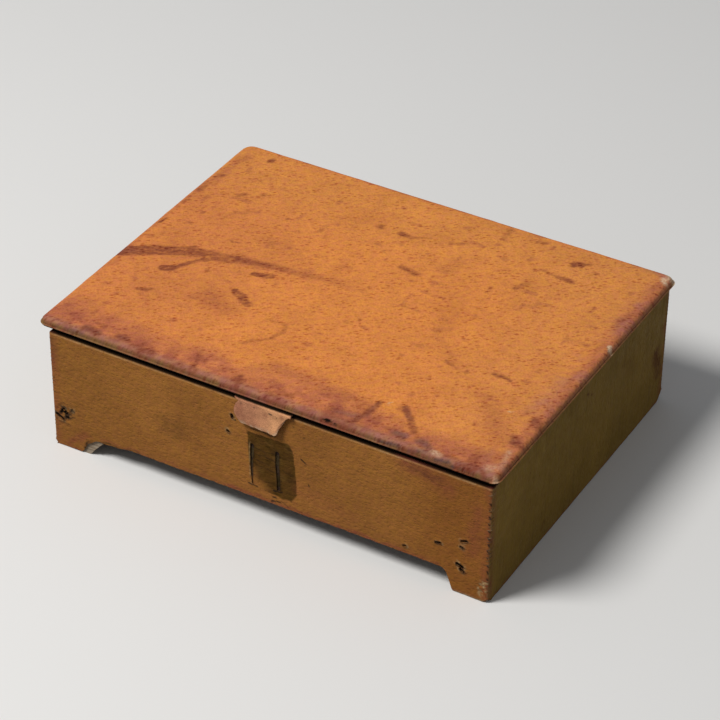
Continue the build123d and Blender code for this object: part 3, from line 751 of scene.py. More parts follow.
def front_marks(x, z):
    """Stains, scratches and rubbed places of the front's face, by run and height, with painted shadow along
    the left foot's arch and below the strap's torn end.
    """
    skin = Skin(flat(x, z), (0, 0, 0))
    spots = np.stack([x, z], 1)
    soft, fine = warped(spots, 2.2, 9.0, 31), warped(spots, 0.6, 2.2, 36)
    skin.strokes(DARK, soft, FRONT_DARK)
    skin.strokes(RED, soft, FRONT_RED)
    stitch_stains = [(0.55, 0.4, 0.95, 0.95, 163.2, up, 164.2, up - 1.2) for up in np.arange(20.0, 84.0, 5.4)]
    skin.strokes(DARK, fine, FRONT_SPOTS + stitch_stains)
    ring, gnaw, slit = (outside(spots, holes) for holes in (ROUND_HOLES, GNAWED, SLITS))
    skin.mark(PALE, smooth(-ring, -2.0, -0.2) * skin.patches(1.7, 37, -0.5, 0.5) * 0.8)
    skin.mark(PALE, smooth(-gnaw, -3.2, -0.3) * skin.patches(1.6, 38, 0.0, 0.7) * 0.5)
    skin.mark(DARK, smooth(-gnaw, -4.5, -0.5) * skin.patches(1.5, 39, 0.0, 0.5) * 0.9)
    toe = np.hypot((x - 162.0) / 0.7, z - 10.0)
    skin.mark(PALE, smooth(-toe, -10.0, -4.0) * skin.patches(1.8, 40, -0.3, 0.5))
    skin.mark(PALE, smooth(-z, -2.2, -0.8) * smooth(x, 138.0, 142.0) * 0.6)
    lip = smooth(-slit, -1.5, -0.5) * smooth(slit, 0.1, 0.6) * (x < 1.0) * smooth(-x, 8.6, 9.4)
    skin.mark(PALE, lip * 0.5)
    cut = smooth(-np.minimum(np.minimum(ring, gnaw), slit + 0.15), -0.4, 0.0)
    skin.mark(DARK, cut * 0.85)
    skin.marks[:, PALE] *= 1 - 0.9 * cut
    return skin.marks


def front_cover():
    """The front's leather with its holes, its stains and the dark patch under the strap."""
    pitch = 0.8
    points, faces = pierced(*panel(0, pitch), 0, ROUND_HOLES + GNAWED + SLITS, pitch)
    skin = Skin(points, SIDE_TINTS[0])
    x, y, z = points.T
    spots = np.stack([x, z], 1)
    face = y < -HALF_DEPTH + 2.5
    skin.coat(
        ((0.41, 0.172, 0.037), skin.patches(60.0, 32, -0.3, 0.8) * 0.5),
        ((0.30, 0.122, 0.027), skin.patches(38.0, 33, 0.1, 0.9) * 0.6),
        ((0.30, 0.12, 0.03), smooth(-z, -30.0, -16.0) * 0.5),
        ((0.295, 0.11, 0.021), smooth(x, 90.0, 140.0) * 0.85),
        ((0.325, 0.135, 0.028), smooth(-x, 80.0, 140.0) * 0.8),
    )
    patch = smooth(inside_outline(*warped(spots, 0.5, 4.0, 34).T, PATCH), -0.35, 0.5)
    fade = smooth(0.77 * (x + 10.0) - (46.0 - z) * 0.64 + 1.5 * noise(points, 5.0, 35), -9.0, 2.0)
    patch = patch * (0.12 + 0.88 * fade) * face
    bare = Skin(points, (0.094, 0.046, 0.01))
    creases = smooth(noise(points / (2.5, 1.0, 1.0), 2.2, 47), 0.1, 0.9)
    bare.coat(
        ((0.13, 0.07, 0.016), bare.patches(7.0, 46, 0.0, 0.9) * 0.8),
        ((0.035, 0.02, 0.006), creases * 0.6),
    )
    skin.coat((bare.tint, patch * 0.95))
    skin.marks[face] = front_marks(x[face], z[face])
    edge_wear_and_rim_shade(skin)
    ring, gnaw, slit = (outside(spots, holes) for holes in (ROUND_HOLES, GNAWED, SLITS))
    lift = 0.16 * noise(points, 26.0, 41) + 0.07 * noise(points, 6.0, 42) - 0.12 - 0.12 * patch
    lift += (0.35 * smooth(-ring, -1.6, -0.1) - 0.5 * smooth(-gnaw, -5.0, 0.0)) * face
    lift += 0.3 * smooth(-slit, -1.5, -0.1) * face
    toe = np.hypot((x - 162.6) / 0.7, z - 10.0)
    lift -= 0.8 * smooth(-toe, -10.0, -3.0) * face * skin.patches(2.2, 43, -0.2, 0.5)
    calm = smooth(HALF_WIDTH - np.abs(x), 0.0, 5.0)
    return points + vertex_normals(points, faces) * (lift * calm)[:, None], faces, skin.fields()


def clear_of_knuckles(points, reach):
    """Points moved out of a radius round the hinge's axis, where the hinges are."""
    offset = points[:, 1:] - (HINGE_Y, HINGE_Z)
    length = np.linalg.norm(offset, axis=1)
    near = (np.abs(np.abs(points[:, 0]) - HINGE_X) < HINGE_HALF) & (length < reach)
    points[near, 1:] = (HINGE_Y, HINGE_Z) + offset[near] / length[near, None] * reach


def side_cover(side):
    """The leather of the right, the back or the left side, streaked and stained."""
    pitch = 1.5
    points, faces = pierced(*panel(side, pitch), side, [], pitch)
    run, height = points[:, 0].copy(), points[:, 2].copy()
    points = turned(points, side)
    base = np.array(SIDE_TINTS[side])
    skin = Skin(points, base)
    streaks = noise(np.stack([run / 1.8, height / 30.0, 0 * run + side], 1), 1.0, 50 + side)
    skin.coat(
        (base * 0.72, smooth(streaks, 0.0, 1.0) * 0.6),
        (base * 1.25, skin.patches(45.0, 54 + side, 0.0, 0.9) * 0.5),
    )
    skin.strokes(DARK, warped(np.stack([run, height], 1), 2.5, 9.0, 57 + side), SIDE_STAINS[side])
    edge_wear_and_rim_shade(skin)
    calm = smooth(halves(side)[0] - np.abs(run), 0.0, 5.0)
    lift = 0.18 * noise(points, 30.0, 61 + side) + 0.07 * noise(points, 7.0, 65 + side) - 0.14
    points = points + vertex_normals(points, faces) * (lift * calm)[:, None]
    if side == 2:
        clear_of_knuckles(points, 2.2)
    return points, faces, skin.fields()


def backing(low, high, depth, pitch=0.5):
    """A small upright sheet behind the front's leather, seen through its holes."""
    counts = [round((b - a) / pitch) + 1 for a, b in zip(low, high)]
    lines = [np.linspace(a, b, count) for a, b, count in zip(low, high, counts)]
    x, z = (v.reshape(-1) for v in np.meshgrid(*lines, indexing="ij"))
    points = np.stack([x, 0 * x + depth - HALF_DEPTH, z], 1)
    points[:, 1] += 0.25 * noise(points, 2.0, 44)
    return points, grid_faces(*counts)


def hollows():
    """Brown fibres in the two slits, and a near-black sheet of painted shade seen through the other holes."""
    points, faces = together([backing((x - 1.7, 26.4), (x + 1.7, 60.6), 0.6) for x in (-8.2, 11.2)])
    skin = Skin(points, (0.08, 0.055, 0.026))
    x, _, z = points.T
    skin.coat(
        ((0.066, 0.045, 0.023), smooth(z, 47.0, 50.0) * (x > 0)),
        ((0.045, 0.03, 0.013), smooth(-z, -45.0, -41.0) * (x > 0)),
    )
    skin.strokes(DARK, warped(points[:, ::2], 0.5, 2.0, 45), SLIT_STAINS)
    make("slit_fibres", points, faces, "case", FIBRE, skin.fields())
    # Painted shade: a near-black sheet behind the gnawed place and the round holes, so the holes fall dark.
    parts = [backing((-163.6, 19.5), (-148.6, 34.5), 0.95)]
    for radius, *line in ROUND_HOLES:
        corners = np.reshape(line, (-1, 2))
        parts.append(backing(corners.min(0) - radius - 0.8, corners.max(0) + radius + 0.8, 0.95))
    points, faces = together(parts)
    make("hole_shade", points, faces, "case", FIBRE, Skin(points, (0.012, 0.008, 0.006)).fields())


def corner_stitches(x_side, y_side, seed):
    """Waxed thread over one upright corner of the cover, with stitches worn away here and there."""
    chance = np.random.default_rng(seed)
    corner = (HALF_WIDTH - CORNER_ROUND, CORNER_ROUND - HALF_DEPTH)
    turn = np.linspace(0, math.pi / 2, 5)
    bend = np.stack([np.sin(turn), -np.cos(turn)], 1) * (CORNER_ROUND - 0.05)
    parts = []
    for z in np.arange(6.5, 88.0, STITCH_SPACING):
        gone, slope, reach = chance.random(), chance.normal(0.7, 0.3), chance.normal(0.9, 0.25)
        if gone >= 0.35:
            path = np.concatenate([[(-reach, 0.1 - CORNER_ROUND)], bend, [(CORNER_ROUND - 0.1, reach)]])
            rise = z + slope * np.linspace(-0.8, 0.8, len(path))
            parts.append(tube(np.column_stack([(path + corner) * (x_side, -y_side), rise]), STITCH_RADIUS))
    return together(parts)


for side, name in enumerate(("front", "right", "back", "left")):
    points, faces, fields = thickened(*(side_cover(side) if side else front_cover()), CUT_EDGE)
    skin = SIDE_SKIN if side % 2 else FRONT_SKIN
    make(f"{name}_cover", points, faces, "case", skin, fields, [f"{name}_leather"])
hollows()
for y_side, x_side in ((-1, -1), (-1, 1), (1, 1), (1, -1)):
    name = f"corner_stitches_{'back' if y_side > 0 else 'front'}_{'right' if x_side > 0 else 'left'}"
    points, faces = corner_stitches(x_side, y_side, 70 + 2 * x_side + y_side)
    thread = Skin(points, (0.2, 0.12, 0.05))
    thread.mark(DARK, thread.patches(5.0, 75, -0.3, 0.6) * 0.8)
    thread.mark(PALE, thread.patches(6.0, 76, 0.3, 0.8) * 0.35)
    make(name, points, faces, "case", THREAD, thread.fields(), turn=80)


# ------------------------------------------------------------------ lid cover


def rounded_plan(low, high, radii, insets, pitch):
    """Grid lines over a rounded rectangle, parallel to its outline near it, and how far in each lies.
    The radii are those of the front-left, front-right, back-right and back-left corners."""
    reach = insets[-1]

    def lines(a, b):
        middle = np.linspace(a + reach, b - reach, round((b - a - 2 * reach) / pitch) + 1)
        return np.concatenate([a + insets[:-1], middle, (b - insets[:-1])[::-1]])

    x, y = np.meshgrid(lines(low[0], high[0]), lines(low[1], high[1]), indexing="ij")
    inset = np.minimum(np.minimum(x - low[0], high[0] - x), np.minimum(y - low[1], high[1] - y))
    for (x_side, y_side), radius in zip(((0, 0), (1, 0), (1, 1), (0, 1)), radii):
        edge_x, edge_y = (low, high)[x_side][0], (low, high)[y_side][1]
        way_x, way_y = 1 - 2 * x_side, 1 - 2 * y_side
        a, b = (x - edge_x) * way_x, (y - edge_y) * way_y
        here = (a < radius) & (b < radius)
        level = np.minimum(a, b)[here]
        other = np.maximum(a, b)[here]
        turn = math.pi / 4 * (radius - other) / (radius - level)
        near = radius - (radius - level) * np.cos(turn)
        far = radius - (radius - level) * np.sin(turn)
        on_x = (a <= b)[here]
        x[here] = edge_x + way_x * np.where(on_x, near, far)
        y[here] = edge_y + way_y * np.where(on_x, far, near)
    return x, y, inset


def round_drop(inset, radius):
    """How far a rounded edge lies below its face, at an inset from the outline."""
    short = np.clip(radius - inset, 0, radius)
    return radius - np.sqrt(np.maximum(radius**2 - short**2, 0))


def lid_mesh():
    """The lid's cover: top, rounded edges and the part turned in under the lid."""
    turn = np.linspace(0, math.pi / 2, 7)
    further = [4.6, 6.0, 7.5, 9.0, 10.4, 11.8, 13.2, 14.6, LID_TURN_IN]
    insets = np.concatenate([LID_TOP_ROUND * (1 - np.cos(turn)), further])
    x, y, inset = rounded_plan(LID_LOW, LID_HIGH, LID_CORNERS, insets, 1.25)
    rows, columns = x.shape
    top = np.stack([x, y, LID_TOP - round_drop(inset, LID_TOP_ROUND)], -1).reshape(-1, 3)
    under = np.stack([x, y, LID_BOTTOM + round_drop(inset, LID_BOTTOM_ROUND)], -1).reshape(-1, 3)
    top_faces = grid_faces(rows, columns)
    deepest = inset.reshape(-1)[top_faces].min(1)
    under_faces = (top_faces + rows * columns)[deepest < LID_TURN_IN - 0.01][:, ::-1]
    loop = outline(rows, columns)
    half_way = (top[loop] + under[loop]) / 2
    middle = np.arange(len(loop)) + 2 * rows * columns
    after = np.roll(np.arange(len(loop)), -1)
    upper = np.stack([loop, middle, middle[after], loop[after]], 1)
    lower = np.stack([middle, loop + rows * columns, loop[after] + rows * columns, middle[after]], 1)
    points = np.concatenate([top, under, half_way])
    faces = np.concatenate([top_faces, upper[:, ::-1], lower[:, ::-1], under_faces])
    level = np.concatenate([inset.reshape(-1), inset.reshape(-1), np.zeros(len(loop))])
    return points, faces, level


# Marks of the lid: half width, softness, strength and end strength, then the points of their line, by X and
# Y. Those of the last table are on its front face, by X and Z.
LID_DARK = [
    (6.2, 1.6, 0.85, 0.75, -172, -36.4, -154.4, -26.2, -138.7, -18, -126.6, -11.8),
    (0.8, 0.7, 1, 0.9, -172, -30.5, -154.4, -20.6, -138.7, -13.4),
    (0.8, 0.7, 1, 0.9, -172, -42.3, -154.4, -31.9, -138.7, -22.8),
    (5.2, 1.8, 0.75, 0.6, -126.6, -11.8, -116.2, -9.7, -98.2, -6.7),
    (3.2, 1.6, 0.6, 0.45, -98.2, -6.7, -81.6, -1.8, -63.9, 1.4),
    (2.4, 2.2, 0.3, 0.1, -63.9, 1.4, -51.9, 0.4, -37.8, 3.8, -25.3, 9.8),
    (3.5, 0.8, 0.95, 0.95, -132.5, -38.3, -128.3, -35.8),
    (2.1, 0.9, 0.95, 0.6, -129.2, -36.3, -125.5, -32.1, -121.9, -26.6, -116.5, -17.9, -103.8, -9.1),
    (2.6, 0.9, 0.85, 0.7, -76.5, -14, -65.2, -11.1), (3.3, 0.8, 0.8, 0.75, -76.8, -38.2, -61, -46.7),
    (1.6, 0.8, 0.7, 0.6, -134.2, -68.7, -126, -63.8), (2.2, 1.2, 0.7, 0.7, -56.8, -114.3, -53.9, -122.5),
    (2.2, 1.2, 0.8, 0.8, -21.6, -118.9, -18.8, -126.9),
    (1.6, 1.2, 0.3, 0.5, -41, -55.8, -33.3, -54, -26.5, -56, -24.6, -64.5, -26.1, -70.9),
    (1, 0.8, 0.5, 0.35, -26.1, -70.9, -34.1, -78.4, -41.5, -86.8),
    (2, 1, 0.7, 0.6, -166.1, 78.5, -161.8, 82.6), (1.7, 1, 0.6, 0.5, -166.5, 57.6, -163.8, 63.8),
    (1.5, 0.9, 0.5, 0.5, -167.9, 36.7, -166.5, 42.2), (1.4, 0.8, 0.8, 0.7, -167.2, 9.2, -165.5, 14.7),
    (2.9, 1, 0.7, 0.7, -142.5, 115.8), (2.1, 1.2, 0.6, 0.4, -135.9, 68.1, -139.1, 60.1),
    (2, 1, 0.4, 0.4, -122.9, 74.4), (1.4, 0.7, 0.6, 0.6, -93.4, 56.2), (1.7, 0.9, 0.5, 0.5, -147.5, 33.2),
    (1.4, 0.8, 0.5, 0.5, -147.4, 17.8), (0.4, 0.4, 0.9, 0.9, -113.1, 13.8, -109.7, 12.8, -106.6, 13.1),
    (2, 0.9, 0.5, 0.5, -106.3, -25.7), (2.8, 1.4, 0.6, 0.6, -32.2, 80.2),
    (2.5, 1, 0.8, 0.5, -15.1, 80.1, -7.9, 80), (1.3, 0.8, 0.5, 0.3, -7.9, 80, 3.9, 84.1),
    (1.5, 1, 0.5, 0.4, 18, 86.7, 29.2, 91.9), (2.8, 1.7, 0.65, 0.6, 4.4, 44.1, 16.7, 41.4),
    (2.2, 1.4, 0.45, 0.35, 45.9, 123.9, 47.3, 110), (1.8, 1, 0.6, 0.5, 68.4, 118.2, 75.5, 121),
    (3.3, 1.4, 0.95, 0.9, 103, 105.2, 107, 108.4), (1.3, 1, 0.9, 0.6, 107, 108.4, 112.5, 111.4),
    (1.3, 1, 0.35, 0.5, 88, 88.9, 101.3, 87.7), (2.2, 1, 0.5, 0.75, 101.3, 87.7, 112.1, 85.7),
    (2.1, 1.2, 0.6, 0.4, 82.1, 60.8, 85.6, 69.9), (2, 0.9, 0.5, 0.5, 120.1, 103.4),
    (1.8, 0.9, 0.85, 0.75, 115.3, -33.1, 127.3, -34.1), (1.4, 0.8, 0.6, 0.4, 83, -36.5, 90, -38.5),
    (1.8, 0.9, 0.6, 0.6, 99, -40.8), (3.1, 1.5, 0.7, 0.6, 160.3, -64.1, 166, -68.5),
    (2.8, 1.4, 0.7, 0.6, 156.1, -85.8, 164, -92.3),
    (2.4, 1.2, 0.8, 0.7, 67.9, -97, 66.7, -112.4, 63.7, -121.5),
    (2.5, 1.2, 0.8, 0.7, 83.7, -93.1, 102.4, -112.4), (3.4, 3, 0.45, 0.4, 91.3, -120, 98.3, -121),
    (3.6, 3, 0.45, 0.45, 109, -119.8, 116.6, -122.4), (2, 1.2, 0.9, 0.8, 139.4, -127.2, 156.2, -127),
    (3.1, 1.3, 0.8, 0.8, 160.6, -90.3), (3.6, 2, 0.8, 0.75, -137.5, -122.9, -128.5, -124),
    (2.5, 1.8, 0.6, 0.6, -133, -115.6, -127.2, -115.6),
    (3.1, 1.8, 0.7, 0.7, -113.8, -120.4, -107.8, -120.8),
    (3.1, 1.6, 0.75, 0.75, -91.1, -125.2, -85.1, -125.2),
    (2.8, 1.5, 0.7, 0.7, -54.8, -126.1, -50.8, -126.1),
    (3.1, 1.6, 0.7, 0.7, -22.7, -122.2, -18.7, -122.2), (0.8, 0.6, 0.9, 0.9, 43.5, -128.8, 53, -128.6),
]
LID_RED = [
    (3.6, 4, 0.7, 0.25, -95, -2, -70, -1, -40, 2, -5, 8), (6, 7, 0.5, 0.45, -92, -52, -72, -60),
    (4, 6, 0.6, 0.5, -168, 60, -160, 108), (1.5, 3, 0.5, 0.5, -170, -60, -168, 60),
    (1.2, 1.6, 0.7, 0.7, -150, 128.5, 162, 128.5), (1.6, 4.5, 0.6, 0.6, 162, -110, 163, 118),
    (3, 3, 0.6, 0.6, 156.4, 62.7, 163.3, 81.7), (4, 8, 0.3, 0.25, 30, 60, 48, 80),
    (3, 7, 0.35, 0.3, 70, -20, 95, -36), (5, 9, 0.45, 0.5, 125, -60, 150, -92),
    (4, 8, 0.45, 0.5, -10, -96, 60, -104),
]
LID_PALE = [
    (2.6, 3, 0.3, 0.25, 158, -121.5, 164.5, -116.1), (1.6, 2.4, 0.4, 0.25, 161.7, -101.1, 164, -113),
    (1.6, 1.6, 0.6, 0.6, 166.4, -127.6), (1.7, 0.5, 1, 1, 166, 32.2, 166.7, 29.8),
    (1.6, 1, 0.9, 0.9, 161.7, 121.4, 166.2, 117.6), (2, 1.2, 0.7, 0.7, 165, 124),
    (1.7, 1.2, 0.5, 0.45, 121.5, -124.4, 125.2, -125.6),
    (0.35, 0.4, 0.45, 0.45, 74.4, -96.2, 73, -94.4, 74.6, -92.8),
    (0.4, 0.4, 0.6, 0.6, 142.2, -64.3, 144.6, -63.4),
]
BRUISES = [
    (2.2, 2.6, 0.8, 0.75, 91.3, -120, 98.3, -121), (2.4, 2.8, 0.75, 0.75, 109, -119.8, 116.6, -122.4),
    (2.2, 2.6, 0.45, 0.5, 62, -117, 48, -119.5), (1, 1.4, 0.6, 0.4, 139.4, -127.4, 148, -127.2),
    (2.4, 2.4, 0.75, 0.7, -137.5, -122.9, -128.5, -124),
    (1.8, 2, 0.6, 0.6, -113.8, -120.4, -107.8, -120.8), (3.2, 2.6, 0.65, 0.3, -172, -38, -163, -31),
    (2.4, 3, 0.3, 0.4, 138, 127, 150, 127.5, 161, 126), (1.6, 2, 0.7, 0.7, 111.5, -128.6, 118.6, -126.2),
    (2.4, 1.6, 0.6, 0.6, 160.3, -64.1, 165, -68), (2.4, 1.4, 0.75, 0.75, 160, -89, 162, -91.5),
    (1.4, 1.6, 0.35, 0.4, 67.9, -97, 66.7, -112.4, 63.7, -121.5),
    (1.6, 1.6, 0.4, 0.45, 85, -94, 92, -102), (1.4, 2.2, 0.45, 0.4, 142.3, -128.2, 155, -127.4),
    (2.6, 3.4, 0.3, 0.35, 162.5, 84, 165, 68),
]
FACE_BRUISES = [
    (0.8, 1, 0.9, 0.75, 86, 97.8, 98.6, 99.2), (0.9, 1, 0.6, 0.7, 106, 98.4, 112, 99.6),
    (0.9, 1.1, 0.8, 0.9, 124.5, 98.8, 133.6, 99.8), (0.9, 1, 0.85, 0.8, 136.5, 98, 149.6, 98.9),
    (1, 1.4, 0.4, 0.5, -150, 99, -138, 99.4),
]


def lid_skin(points, front):
    """Base colour of the lid's leather: warm and even, browner toward the front and the right edge, with
    painted light on its right edge and rear-right tip and painted shade along and under its lower edge.
    """
    x, y, z = points.T
    skin = Skin(points, (0.70, 0.25, 0.058))
    skin.coat(
        ((0.60, 0.207, 0.056), smooth(-x, 20.0, 130.0) * 0.9),
        ((0.675, 0.262, 0.06), smooth(y, 30.0, 110.0) * 0.8),
        ((0.65, 0.253, 0.065), smooth(x, 60.0, 140.0) * 0.7),
        ((0.74, 0.22, 0.055), smooth(y, LID_HIGH[1] - 7.0, LID_HIGH[1] - 2.0) * 0.7),
        ((0.57, 0.185, 0.045), skin.patches(24.0, 80, 0.1, 0.95) * 0.35),
        ((0.75, 0.285, 0.058), skin.patches(30.0, 81, 0.2, 0.9) * 0.3),
        ((0.43, 0.133, 0.06), smooth(-front, -34.0, -9.0) * 0.85),
    )
    peach = skin.patches(8.0, 79, 0.1, 0.8) * smooth(-front, -34.0, -12.0)
    skin.coat(((0.68, 0.24, 0.075), peach * 0.5))
    loose = warped(points[:, :2], 1.5, 5.0, 78)
    skin.coat(((0.13, 0.085, 0.085), paint(np.zeros(len(points)), loose, BRUISES)))
    right = (LID_HIGH[0] - x) + 3.0 * noise(points, 16.0, 83)
    skin.coat(((0.55, 0.19, 0.075), smooth(-right, -16.0, -3.0) * 0.8))
    dusty = skin.patches(13.0, 95, 0.0, 0.7) * smooth(-right, -24.0, -5.0)
    skin.coat(((0.42, 0.17, 0.12), dusty * 0.6))
    on_right = smooth(x, LID_HIGH[0] - 6.0, LID_HIGH[0] - 2.5)
    handled = smooth(LID_LOW[1] - y, -8.0, -2.5)
    skin.coat(((0.25, 0.126, 0.092), handled * 0.6))
    rounded = smooth(LID_TOP - z, 0.9 - 0.5 * handled, 3.2)
    skin.coat(((0.215, 0.085, 0.046), rounded * (0.9 - 0.75 * on_right)))
    # Darker toward the lid's lower edge, more so to the left.
    lower_darkening = 0.5 + 0.45 * smooth(-x, -10.0, 90.0) + 0.4 * noise(points, 9.0, 96)
    skin.coat(((0.2, 0.105, 0.038), smooth(-z, -100.6, -97.8) * np.clip(lower_darkening, 0.15, 0.9)))
    face_spots = warped(points[:, ::2], 0.5, 2.0, 94)
    bruised = paint(np.zeros(len(points)), face_spots, FACE_BRUISES) * (y < LID_LOW[1] + 3.5)
    skin.coat(
        ((0.1, 0.058, 0.055), bruised),
        # Painted light: the rounding of the right edge is made lighter, for the light it catches.
        ((0.62, 0.24, 0.1), on_right * rounded * 0.8),
        # Painted shade: the lower right face is darker, just above the gap.
        ((0.2, 0.1, 0.035), on_right * smooth(-z, -98.2, -96.4) * 0.9),
        # The worn rear-right tip is made paler still: painted light where it faces away from the lamp.
        ((0.9, 0.72, 0.5), smooth(-np.hypot(x - 168.0, y - 130.0), -6.0, -3.5)),
    )
    # Painted shade: near black along the lid's lower edge, where the gap under it falls dark, stronger at the
    # front; and a darker brown under the lid, inward of its edge.
    gap_top = 95.7 + 1.2 * smooth(x, 60.0, 110.0) * (1 - on_right)
    gap = smooth(gap_top - z, 0.0, 0.8) * (0.55 + 0.42 * (y < LID_LOW[1] + 8))
    inset = np.minimum(points[:, :2] - LID_LOW, LID_HIGH - points[:, :2]).min(1)
    skin.coat(
        (SHADE, gap),
        ((0.085, 0.038, 0.016), smooth(inset, 4.0, 8.0) * smooth(-z, -96.9, -96.1)),
    )
    return skin


def lid_cover():
    """The lid's leather with its stains, scratches and rubbed corners."""
    points, faces, level = lid_mesh()
    x, y, z = points.T
    above = smooth(z, LID_BOTTOM + 1.2, LID_BOTTOM + 2.6)
    front = (y - LID_LOW[1]) + 7.0 * noise(points, 22.0, 82)
    skin = lid_skin(points, front)
    spots = np.stack([x, y], 1)
    skin.strokes(DARK, warped(spots, 1.5, 6.0, 84), LID_DARK)
    skin.marks[:, DARK] *= np.clip(0.95 + 0.2 * noise(points, 4.0, 85), 0.75, 1)
    skin.strokes(RED, warped(spots, 4.0, 14.0, 86), LID_RED)
    skin.mark(RED, skin.patches(7.0, 87, 0.1, 0.6) * smooth(-front, -30.0, -8.0) * 0.6)
    skin.mark(DARK, skin.patches(10.0, 88, 0.2, 0.65) * smooth(-front, -20.0, -5.0) * 0.5)
    skin.mark(RED, skin.patches(7.0, 89, 0.62, 0.8, octaves=1) * 0.45)
    skin.strokes(PALE, warped(spots, 0.8, 3.0, 90), LID_PALE)
    skin.mark(PALE, smooth(-np.hypot(x - 167.0, y - 129.5), -7.5, -4.0) * 0.8)
    skin.marks *= above[:, None]
    lift = 0.22 * noise(points, 42.0, 91) + 0.08 * noise(points, 8.0, 92) - 0.2
    lift -= 0.1 * skin.marks[:, DARK] + 0.35 * smooth(-level, -14.0, -2.0) * above
    tear = np.hypot((x - 48.2) / 5.6, (z - 98.7) / 1.15) + 0.6 * noise(points, 2.2, 97) + 9 * (y > -126.8)
    lift = np.maximum(lift - 0.3 * smooth(-tear, -1.0, -0.4), -0.6)
    torn = smooth(-tear, -1.2, -0.8)
    skin.coat(((0.012, 0.008, 0.006), torn))
    skin.marks *= 1 - torn[:, None]
    lift -= 0.2 * smooth(-np.hypot(x - 168.0, y - 130.5), -9.0, -2.0)
    points = points + vertex_normals(points, faces) * lift[:, None]
    reach = 2.25
    near = np.abs(np.abs(points[:, 0]) - HINGE_X) < HINGE_HALF
    behind = near & (points[:, 1] >= HINGE_Y)
    points[behind, 2] = np.maximum(points[behind, 2], HINGE_Z + reach)
    clear_of_knuckles(points, reach)
    return points, faces, skin.fields()


points, faces, fields = thickened(*lid_cover(), CUT_EDGE)
make("lid_cover", points, faces, "lid", LID_SKIN, fields, ["lid_leather"])


# ------------------------------------------------------------------ strap


# Lower edge of the torn stub, as distance across and height below the fold, and its left side, which
# narrows toward the fold.
TORN = np.array([
    (-21.0, -11.9), (-19.9, -15.2), (-18.2, -17.1), (-7.6, -17.7), (5.4, -17.4), (8.8, -17.8), (11.2, -16.4),
    (12.4, -12.5), (14.7, -8.9), (16.8, -4.6), (18.9, -2.0), (20.1, -0.6),
])
NARROWED = np.array([
    (0.0, -18.6), (1.2, -17.5), (4.0, -19.6), (8.2, -21.0), (11.9, -21.0), (15.2, -19.9), (18.0, -18.2),
])


def strap_mesh():
    """The nailed strap, its fold at the lid's front edge and the torn stub that hangs down."""
    columns = 71
    across = np.linspace(-STRAP_WIDTH / 2, STRAP_WIDTH / 2, columns)
    level = 0 * across
    spots = flat(across, level)
    drop = -np.interp(across, TORN[:, 0], TORN[:, 1])
    drop += 0.45 * noise(spots, 2.4, 100) + 0.5 * noise(spots, 7.0, 101)
    drop = np.maximum(drop, 1.6)
    half = STRAP_THICK / 2
    anchor_back = BEND_Y + half + 0.3 + STRAP_NAILED
    fold_y, fold_z = BEND_Y + half, BEND_Z - half
    rows = []
    for y in np.linspace(anchor_back, fold_y, 22)[:-1]:
        rows.append((level + y, level + BEND_Z, level, level + 1))
    for a in np.linspace(0, math.pi / 2, 8):
        ahead, up = level - math.sin(a), level + math.cos(a)
        rows.append((fold_y + half * ahead, fold_z + half * up, ahead, up))
    share = (across + STRAP_WIDTH / 2) / STRAP_WIDTH
    curl = CURL_LEFT + (CURL_RIGHT - CURL_LEFT) * share
    radius = (STRAP_DROP**2 + curl**2) / (2 * curl)
    for t in np.linspace(0, 1, 22)[1:]:
        fall = np.maximum(drop - half, 0.4) * t
        turn = np.arcsin(np.clip(fall / radius, 0, 0.9))
        y = BEND_Y - radius * (1 - np.cos(turn))
        rows.append((y, fold_z - fall, -np.cos(turn), np.sin(turn)))
    y, z, ahead, up = np.array(rows).transpose(1, 0, 2)
    side = np.interp(BEND_Z - z, NARROWED[:, 0], NARROWED[:, 1])
    side = -21.0 + (side + 21.0) * smooth(BEND_Z - z, 0.0, 1.2)
    x = STRAP_X + side + (across - across[0]) * (across[-1] - side) / STRAP_WIDTH
    centre = np.stack([x, y, z], -1)
    out = np.stack([0 * x, ahead, up], -1)
    run = np.arange(len(rows))[:, None] / (len(rows) - 1) + 0 * x
    flat_points = centre.reshape(-1, 3)
    hanging = smooth(BEND_Z - z, 1.0, 6.0)
    wave = 0.35 * noise(flat_points, 9.0, 102).reshape(x.shape) * hanging
    thick = half * (1 - 0.5 * smooth(run, 0.9, 1.0) * hanging) * (1 - 0.25 * np.abs(2 * share - 1) ** 8)
    rough = 0.1 * noise(flat_points, 3.0, 103).reshape(x.shape)
    outer = centre + out * (thick + wave - 0.1 + np.minimum(rough, 0.05))[..., None]
    inner = centre - out * (thick - np.maximum(wave, -0.3) - 0.1)[..., None]
    count = len(rows)
    points = np.concatenate([outer.reshape(-1, 3), inner.reshape(-1, 3)])
    faces = grid_faces(count, columns)
    second = faces[:, ::-1] + count * columns
    loop = outline(count, columns)
    after = np.roll(loop, -1)
    wall = np.stack([loop, after, after + count * columns, loop + count * columns], 1)[:, ::-1]
    shares, sides = np.tile(run.reshape(-1), 2), np.tile(x.reshape(-1) - STRAP_X, 2)
    return points, np.concatenate([faces, second, wall]), shares, sides


STRAP_SPOTS = [
    (0.45, 0.35, 0.9, 0.9, -15.5, 90.4), (0.45, 0.35, 0.9, 0.9, -5.8, 90.7),
    (0.5, 0.35, 1, 1, 5.3, 90.2, 7.3, 90.1), (0.4, 0.35, 0.9, 0.9, 11, 88.4),
]


